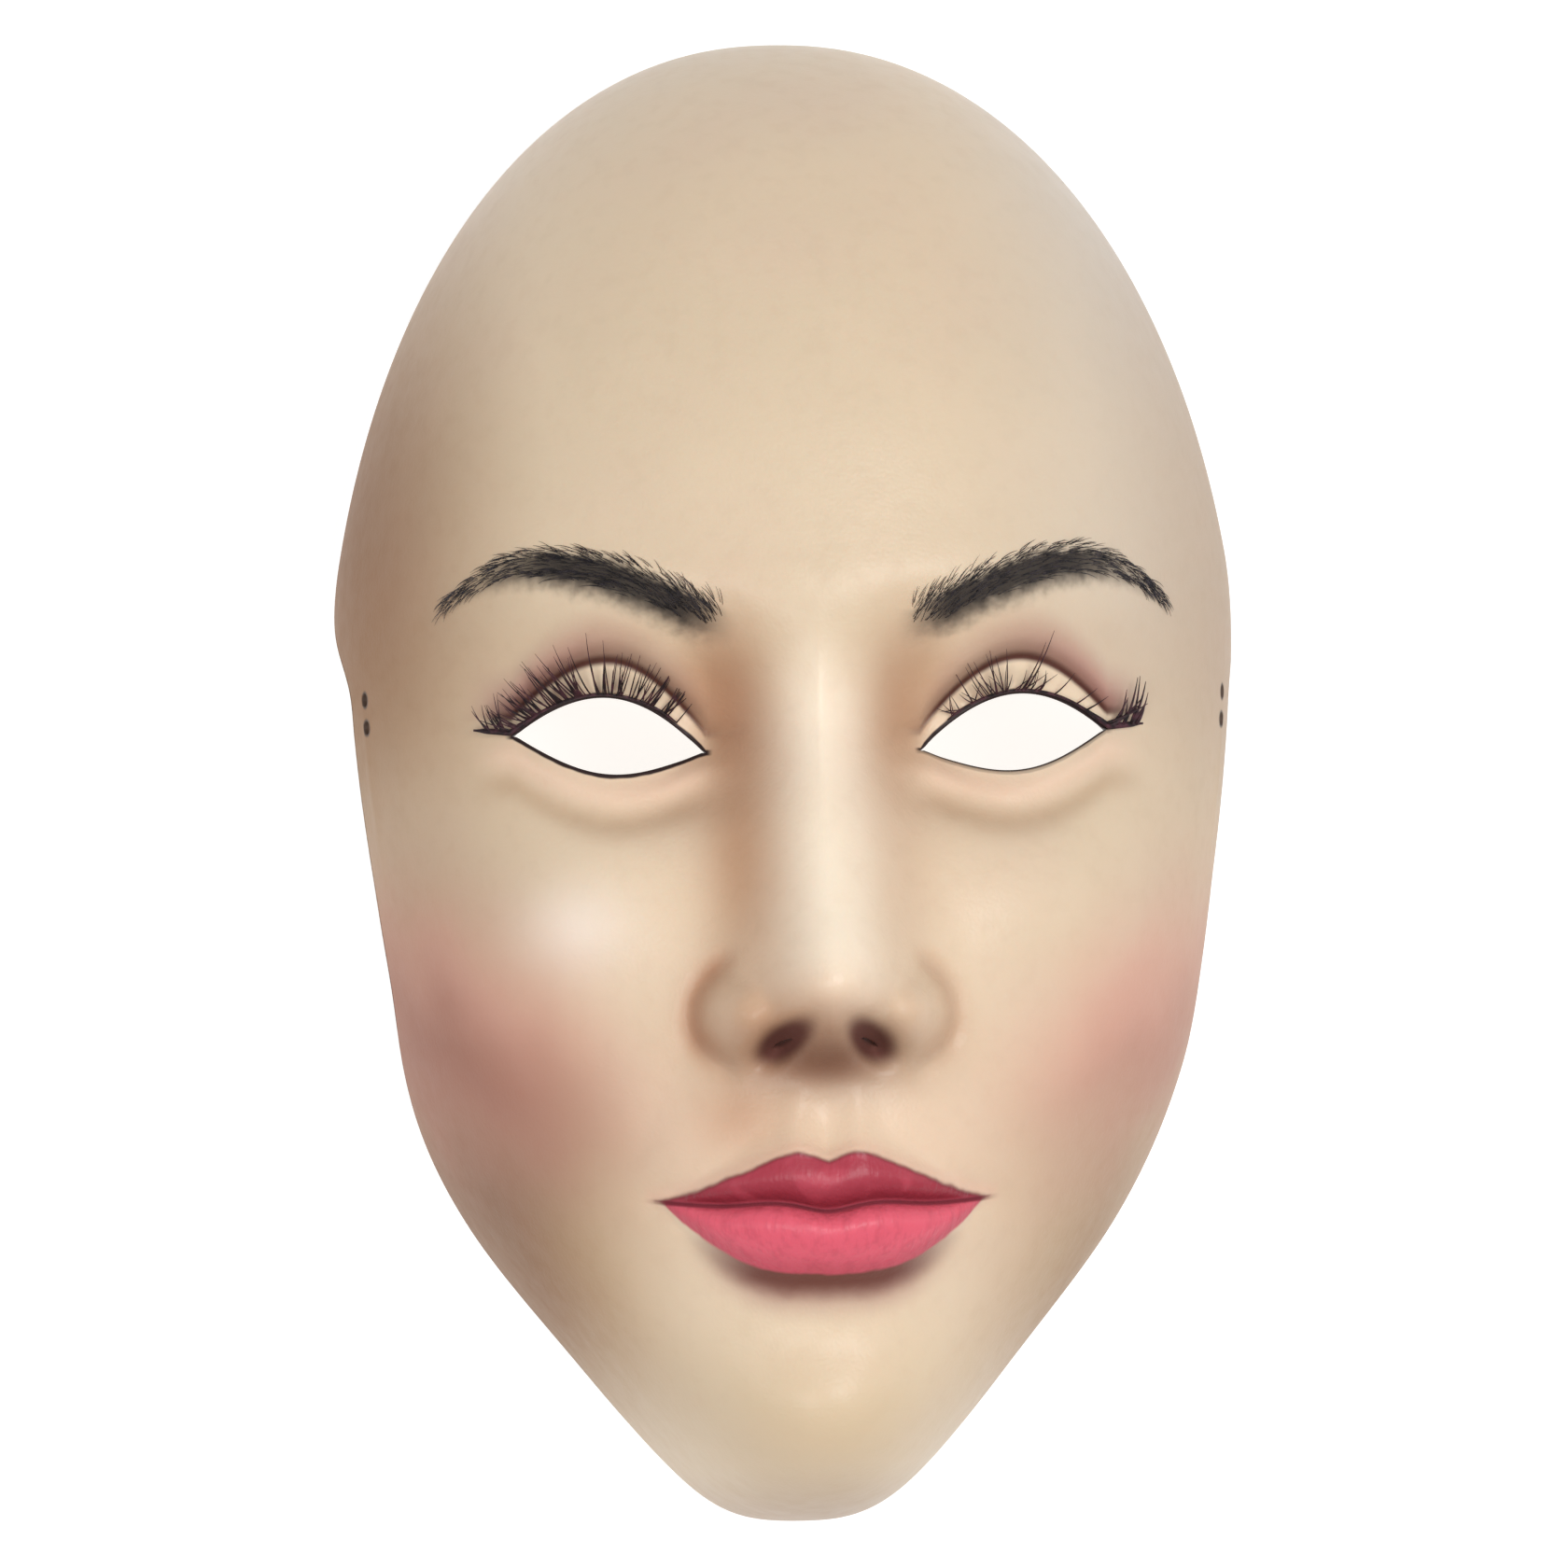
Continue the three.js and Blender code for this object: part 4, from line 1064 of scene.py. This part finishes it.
bare = {
    "light": (0.74, 0.62, 0.45),
    "dark": (0.64, 0.50, 0.33),
    "spot": (0.55, 0.40, 0.26),
    "cut": (0.20, 0.13, 0.085),
    "cutSide": (0.94, 0.97),
    "cutHeight": (8, 16, 0, 0.6),
    "blotch": {"noise": (22, 3), "ramp": (0.3, 0.7)},
    "spots": {"noise": (2.5, 4, 0.65), "ramp": (0.5, 0.8, 0, 0.3)},
    "grain": {"coarse": (6, 4), "rise": 3, "fine": (0.9, 3)},
    "roughness": {"drift": (4, 2, 0.2), "middle": 0.6},
    "bump": 0.12,
}


def bareLatex():
    material, tree, place = startMaterial("bare_latex")
    blotch, spots, grain, rough = (bare[name] for name in ("blotch", "spots", "grain", "roughness"))
    colour = tree.blend(place.noise(*blotch["noise"]).ramp(*blotch["ramp"]), bare["light"], bare["dark"])
    colour = colour.mix(place.noise(*spots["noise"]).ramp(*spots["ramp"]), bare["spot"])
    cutEdge = tree.field("sideShare").ramp(*bare["cutSide"]) * place.axis("Z").ramp(*bare["cutHeight"])
    colour = colour.mix(cutEdge, bare["cut"])
    height = place.noise(*grain["coarse"]) * grain["rise"] + place.noise(*grain["fine"])
    roughness = place.jitter(*rough["drift"]) + rough["middle"]
    finishMaterial(tree, {"Base Color": colour, "Roughness": roughness}, (height, bare["bump"]))
    return material


fibres = {
    "lash_fibre": {"dark": (0.014, 0.008, 0.010), "tinted": (0.075, 0.026, 0.036)},
    "brow_hair": {"dark": (0.018, 0.016, 0.020), "tinted": (0.055, 0.045, 0.052)},
}


def hairFibre(name):
    material, tree, place = startMaterial(name)
    tone = place.stretched((1.0, 1.0, 0.4)).noise(1.4, 2).ramp(0.35, 0.7)
    finishMaterial(tree, {
        "Base Color": tree.blend(tone, fibres[name]["dark"], fibres[name]["tinted"]),
        "Roughness": place.jitter(0.8, 2, 0.15) + 0.48,
        "Specular IOR Level": 0.25,
    })
    return material


# the shell, painted latex outside and bare latex inside, with two strap holes through each side

def strapDrill(sign, y):  # a cylinder square to the skin, where the skin is as high as the strap
    xs = np.linspace(*strap["search"]) * dome["halfWidth"]
    x = np.array([np.interp(-strap["z"], -faceHeight(xs, y + 0 * xs, True), xs)])
    centre, normal = skinPoint(x, np.array([y]))[0], skinNormal(x, np.array([y]))[0]
    first = unit(np.cross(normal, [0, 1, 0]))
    angle = np.arange(strap["sides"]) * 2 * np.pi / strap["sides"]
    ring = np.cos(angle)[:, None] * first + np.sin(angle)[:, None] * np.cross(normal, first)
    ring = centre + strap["radius"] * ring
    ends = normal * strap["reach"] / 2
    points = np.concatenate([ring - ends, ring + ends])
    points[:, 0] *= sign
    number = np.arange(strap["sides"])
    turned = np.roll(number, -1)
    sides = np.stack([number, turned, turned + strap["sides"], number + strap["sides"]], -1)
    faces = [sides, number[None, ::-1], number[None] + strap["sides"]]
    if sign < 0:
        faces = [face[:, ::-1] for face in faces]
    return putMesh("drill", points, faces)


def drillHoles(thing):
    drills = [strapDrill(sign, y) for sign in (-1, 1) for y in strap["y"]]
    for drill in drills:
        cut = thing.modifiers.new("cut", "BOOLEAN")
        cut.operation, cut.solver, cut.object = "DIFFERENCE", "EXACT", drill
    drilled = bpy.data.meshes.new_from_object(thing.evaluated_get(bpy.context.evaluated_depsgraph_get()))
    thing.modifiers.clear()
    thing.data = drilled
    for drill in drills:
        bpy.data.objects.remove(drill)


shell = putMesh("latex_shell", *makeShell())
for material in (paintedLatex(), bareLatex()):
    shell.data.materials.append(material)
drillHoles(shell)
for field, values in paintFields(readPoints(shell.data)).items():
    shell.data.attributes.new(field, "FLOAT", "POINT").data.foreach_set("value", values.astype(np.float32))
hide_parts("mask_shell")
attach(shell, "root")
print("shell", len(shell.data.polygons), "faces")


# hairs: tapered tubes along curved paths

def tubes(paths, rings):  # rings of points round the points of each path, joined up and closed at both ends
    points = (paths[:, :, None] + rings).reshape(-1, 3)
    number = np.arange(len(points)).reshape(rings.shape[:3])
    turned = np.roll(number, -1, 2)
    quads = np.stack([number[:, :-1], turned[:, :-1], turned[:, 1:], number[:, 1:]], -1).reshape(-1, 4)
    return points, [quads, number[:, 0, ::-1], number[:, -1]]


def hairTubes(paths, radii, sides=3):  # paths is hairs x steps x 3, radii is hairs x steps
    along = unit(np.gradient(paths, axis=1))
    across = unit(np.cross(along, np.array([0.31, 0.17, 0.93])))
    up = np.cross(along, across)
    angle = np.arange(sides) * 2 * np.pi / sides
    rings = across[:, :, None] * np.cos(angle)[:, None] + up[:, :, None] * np.sin(angle)[:, None]
    return tubes(paths, rings * radii[:, :, None, None])


def browHairs(random, kind):  # rooted along the brow, leaning to the temple, bending down and arched up
    count = kind["hairs"]
    share = random.random(count) ** brow["density"]
    across = random.uniform(kind["low"], kind["high"], count)
    first, last = brow["at"][0] + brow["rootsFrom"], brow["at"][-1] - brow["rootsTo"]
    side = first + share * (last - first)
    slope = np.arctan2(browLine(side + 0.5) - browLine(side - 0.5), 1.0)
    lean = kind["lean"] + brow["innerLean"] * np.exp(-share / brow["innerShare"]) - brow["outerLean"] * share
    lean = np.radians(lean + random.normal(0, brow["leanSpread"], count))
    length = kind["length"] * random.uniform(*brow["vary"], count) * (1 - brow["outerShorter"] * share)
    u = np.linspace(0, 1, brow["steps"])
    angle = (slope + lean)[:, None] - np.radians(brow["bend"]) * u
    stepLength = (length / (brow["steps"] - 1))[:, None]
    x = side[:, None] + np.cumsum(np.cos(angle) * stepLength, 1)
    y = (browLine(side) + across * browHalf(side))[:, None] + np.cumsum(np.sin(angle) * stepLength, 1)
    arch = brow["arch"]
    arched = arch["least"] + (1 - arch["least"]) * np.sin(np.pi * (arch["from"] + arch["span"] * u))
    lift = brow["lift"] * arched * random.uniform(*brow["liftVary"], count)[:, None]
    lift = lift - brow["rootDepth"] * (u == 0)
    radii = kind["radius"] * (1 - brow["taper"] * u ** 2) * random.uniform(*brow["vary"], count)[:, None]
    return skinPoint(x, y) + skinNormal(x, y) * lift[..., None], radii


def makeBrow(name, sign, seed):
    random = np.random.default_rng(seed)
    core, edge = browHairs(random, brow["core"]), browHairs(random, brow["edge"])
    paths, radii = np.concatenate([core[0], edge[0]]), np.concatenate([core[1], edge[1]])
    paths[..., 0] *= sign
    piece = putMesh(name, *hairTubes(paths, radii))
    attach(piece, "root")
    return piece


browLeft = makeBrow("brow_hairs_left", -1, 11)
browRight = makeBrow("brow_hairs_right", 1, 12)
print("brows", len(browLeft.data.polygons) + len(browRight.data.polygons), "faces")


# false lashes: a band glued along the lid, thicker where its end stands clear, and strands in bunches

lash = {
    "start": 21.0,
    "tail": 4.8,
    "above": 0.35,
    "gap": 0.8,
    "lift": 0.18,
    "band": {"thin": 0.22, "thick": 0.46, "depth": 0.28, "rings": 90, "sides": 8},
    "thickens": (10, 5),  # before the end of the band
    "tipLength": 2,
    "tipLost": (0.5, 0.6),  # shares of the thickness lost at the start and at the end
    "steps": 9,
    "sides": 4,
    "lastRoot": 0.8,
    "heading": {"sweep": 0.62, "back": 0.06, "up": 0.68, "gathered": 0.15, "out": 0.72},
    "spread": {"root": 0.012, "gathered": 0.02, "sweep": 0.10, "up": 0.06},
    "curl": {"rise": (0.1, 0.4), "out": 0.18, "fanned": 0.5},
    "reach": {"least": 0.56, "centre": 0.5, "spread": 0.36},
    "vary": {"place": (0.15, 0.85), "bunch": (0.72, 1.05), "strand": (0.78, 1.0), "radius": (0.8, 1.15)},
    "taper": 0.82,
    "taperPower": 1.6,
}
lashParts = {
    "names": ("bunches", "strands", "low", "high", "length", "radius", "fan", "gather"),
    "left": [
        (27, 2, 0.0, 0.97, 8.4, 0.15, 0.05, 0.8),
        (19, 1, 0.03, 0.90, 7.0, 0.13, 0.12, 0.0),
        (9, 2, 0.04, 0.72, 10.6, 0.15, 0.07, 0.6),
        (7, 2, 0.62, 0.96, 7.6, 0.145, 0.12, 0.5),
    ],
    "right": [
        (13, 2, 0.0, 0.5, 5.6, 0.13, 0.5, 0.0),
        (5, 2, 0.10, 0.42, 10.2, 0.15, 0.10, 0.7),
        (3, 1, 0.52, 0.78, 5.5, 0.13, 0.2, 0.0),
        (4, 3, 0.84, 0.96, 10.5, 0.27, 0.05, 1.0),
    ],
}


def lashFrame(x):  # root on the lid with its directions along, up and out of the skin
    past = np.maximum(x - eye["outer"], 0)
    y = upperLid(x) + lash["above"] + lash["lift"] * past
    out = skinNormal(x, y)
    base = skinPoint(x, y) + out * (lash["gap"] + lash["lift"] * past)[..., None]
    ends = skinPoint(x + 0.3, upperLid(x + 0.3)) - skinPoint(x - 0.3, upperLid(x - 0.3))
    along = unit(ends - out * (ends * out).sum(-1, keepdims=True))
    return base, along, np.cross(out, along), out


def lashBand():  # an oval tube, its half height easing up and down along the lid
    band, tip = lash["band"], lash["tipLength"]
    start, end = lash["start"], eye["outer"] + lash["tail"]
    x = np.linspace(start, end, band["rings"])
    base, along, rise, out = lashFrame(x)
    thickens = [end - before for before in lash["thickens"]]
    half = band["thin"] + (band["thick"] - band["thin"]) * easeStep(*thickens, x)
    atStart, atEnd = lash["tipLost"]
    half = half * (1 - atEnd * easeStep(end - tip, end, x))
    half = half * (1 - atStart + atStart * easeStep(start, start + tip, x))
    angle = np.linspace(0, 2 * np.pi, band["sides"], endpoint=False)
    half = half[:, None, None]
    ring = rise[:, None] * np.cos(angle)[:, None] * half
    ring = ring + out[:, None] * np.sin(angle)[:, None] * (half / band["thick"] * band["depth"])
    return tubes(base[None], ring[None])


def lashStrands(random, part):  # in bunches, each strand its heading times u plus its curl times u^2
    names = ("heading", "spread", "curl", "reach", "vary")
    heading, spread, curl, reach, vary = (lash[name] for name in names)
    count = part["bunches"] * part["strands"]
    rooted = eye["outer"] + lash["tail"] - lash["lastRoot"] - lash["start"]
    place = (np.arange(part["bunches"]) + random.uniform(*vary["place"], part["bunches"])) / part["bunches"]
    bunch = part["low"] + (part["high"] - part["low"]) * place
    middle = np.repeat(bunch, part["strands"])
    share = middle + random.normal(0, spread["root"] + spread["gathered"] * part["gather"], count)
    share = np.clip(share, 0, 1)
    base, along, rise, out = lashFrame(lash["start"] + share * rooted)
    gather = along[:, None] * ((middle - share) * rooted * part["gather"])[:, None, None]
    sweep = np.repeat(random.normal(0, spread["sweep"], part["bunches"]), part["strands"])
    lean = heading["sweep"] * share ** 1.6 - heading["back"] + sweep + random.normal(0, part["fan"], count)
    up = heading["up"] + random.normal(0, spread["up"], count) + heading["gathered"] * part["gather"]
    ahead = unit(along * lean[:, None] + rise * up[:, None] + out * heading["out"])
    bunchLength = np.repeat(random.uniform(*vary["bunch"], part["bunches"]), part["strands"])
    length = reach["least"] + (1 - reach["least"]) * bell(share, reach["centre"], reach["spread"])
    length = part["length"] * length * bunchLength * random.uniform(*vary["strand"], count)
    curled = rise * random.uniform(*curl["rise"], (count, 1)) - out * curl["out"]
    curled = curled + along * random.normal(0, curl["fanned"] * part["fan"], (count, 1))
    u = np.linspace(0, 1, lash["steps"])[None, :, None]
    bent = (ahead[:, None] * u + curled[:, None] * u ** 2) * length[:, None, None]
    paths = base[:, None] + bent + gather * u
    taper = 1 - lash["taper"] * u[..., 0] ** lash["taperPower"]
    radii = part["radius"] * taper * random.uniform(*vary["radius"], count)[:, None]
    return hairTubes(paths, radii, lash["sides"])


def makeLashes(name, node, sign, style, seed):
    random = np.random.default_rng(seed)
    points, faces = lashBand()
    for numbers in lashParts[style]:
        strandPoints, strandFaces = lashStrands(random, dict(zip(lashParts["names"], numbers)))
        faces = faces + [face + len(points) for face in strandFaces]
        points = np.concatenate([points, strandPoints])
    points[:, 0] *= sign
    if sign < 0:
        faces = [face[:, ::-1] for face in faces]
    piece = putMesh(name, points, faces)
    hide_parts(node)
    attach(piece, "root")
    return piece


lashLeft = makeLashes("lashes_left", "lash_strip_left", -1, "left", 21)
lashRight = makeLashes("lashes_right", "lash_strip_right", 1, "right", 22)
print("lashes", len(lashLeft.data.polygons) + len(lashRight.data.polygons), "faces")

for name, pair in (("lash_fibre", (lashLeft, lashRight)), ("brow_hair", (browLeft, browRight))):
    material = hairFibre(name)
    for piece in pair:
        piece.data.materials.append(material)
print("materials", len(bpy.data.materials))


# floor, light and camera

backdrop = {
    "half": 3000.0,
    "z": -0.1,
    "dark": (0.37, 0.37, 0.37),
    "light": (0.39, 0.39, 0.39),
    "roughness": 0.7,
    "glow": 0.80,  # the floor glows softly, as a lit backdrop does
}


def addFloor():
    half, z = backdrop["half"], backdrop["z"]
    corners = np.array([[-half, -half, z], [half, -half, z], [half, half, z], [-half, half, z]])
    floor = putMesh("floor", corners, [np.array([[0, 1, 2, 3]])])
    material, tree, place = startMaterial("pale_floor")
    tone = place.noise(160, 2).ramp(0.2, 0.8)
    finishMaterial(tree, {
        "Base Color": tree.blend(tone, backdrop["dark"], backdrop["light"]),
        "Roughness": backdrop["roughness"],
        "Emission Color": (1, 1, 1, 1),
        "Emission Strength": backdrop["glow"],
    })
    floor.data.materials.append(material)


def aimed(thing, place, target, up=(0, 1, 0)):
    back = (Vector(place) - Vector(target)).normalized()
    right = Vector(up).cross(back).normalized()
    turn = Matrix((right, back.cross(right), back)).transposed()
    thing.matrix_world = Matrix.Translation(place) @ turn.to_4x4()


studio = {
    "target": (0.0, 0.0, 0.05),
    "lights": [
        {"name": "key", "place": (0.38, 0.04, 1.28), "size": 0.5, "power": 9.6},
        {"name": "fill", "place": (-0.34, -0.34, 1.14), "size": 0.4, "power": 4.0},
        {"name": "side", "place": (1.10, 0.10, 0.50), "size": 0.6, "power": 1.4},
        {"name": "low", "place": (-0.98, -0.22, 0.67), "size": 0.4, "power": 1.2},
    ],
    "world": 0.26,
}


def addLight(settings):
    light = bpy.data.lights.new(settings["name"], "AREA")
    light.size, light.energy = settings["size"], settings["power"]
    thing = bpy.data.objects.new(settings["name"], light)
    bpy.context.collection.objects.link(thing)
    aimed(thing, settings["place"], studio["target"])


def addWorld():
    world = bpy.data.worlds.new("studio")
    bpy.context.scene.world = world
    world.use_nodes = True
    world.node_tree.nodes["Background"].inputs["Color"].default_value = (1, 1, 1, 1)
    world.node_tree.nodes["Background"].inputs["Strength"].default_value = studio["world"]


view = {
    "distance": 1.1,
    "left": 4.0,  # degrees that the camera stands to the left and towards the chin
    "below": 5.0,
    "roll": 1.0,
    "frameWidth": 0.2445,
    "target": (-0.0033, -0.0050, 0.05),
    "farthest": 20,
}


def addCamera():
    left, below, roll = (math.radians(view[name]) for name in ("left", "below", "roll"))
    x, y = -math.sin(left), -math.sin(below)
    back = Vector((x, y, math.sqrt(1 - x * x - y * y)))
    camera = bpy.data.cameras.new("camera")
    camera.lens = camera.sensor_width * view["distance"] / view["frameWidth"]
    camera.clip_end = view["farthest"]
    thing = bpy.data.objects.new("camera", camera)
    bpy.context.collection.objects.link(thing)
    place = Vector(view["target"]) + back * view["distance"]
    aimed(thing, place, view["target"], (math.sin(roll), math.cos(roll), 0))
    bpy.context.scene.camera = thing


bpy.context.scene.view_settings.view_transform = "Standard"
addFloor()
for light in studio["lights"]:
    addLight(light)
addWorld()
addCamera()
print("stage set")
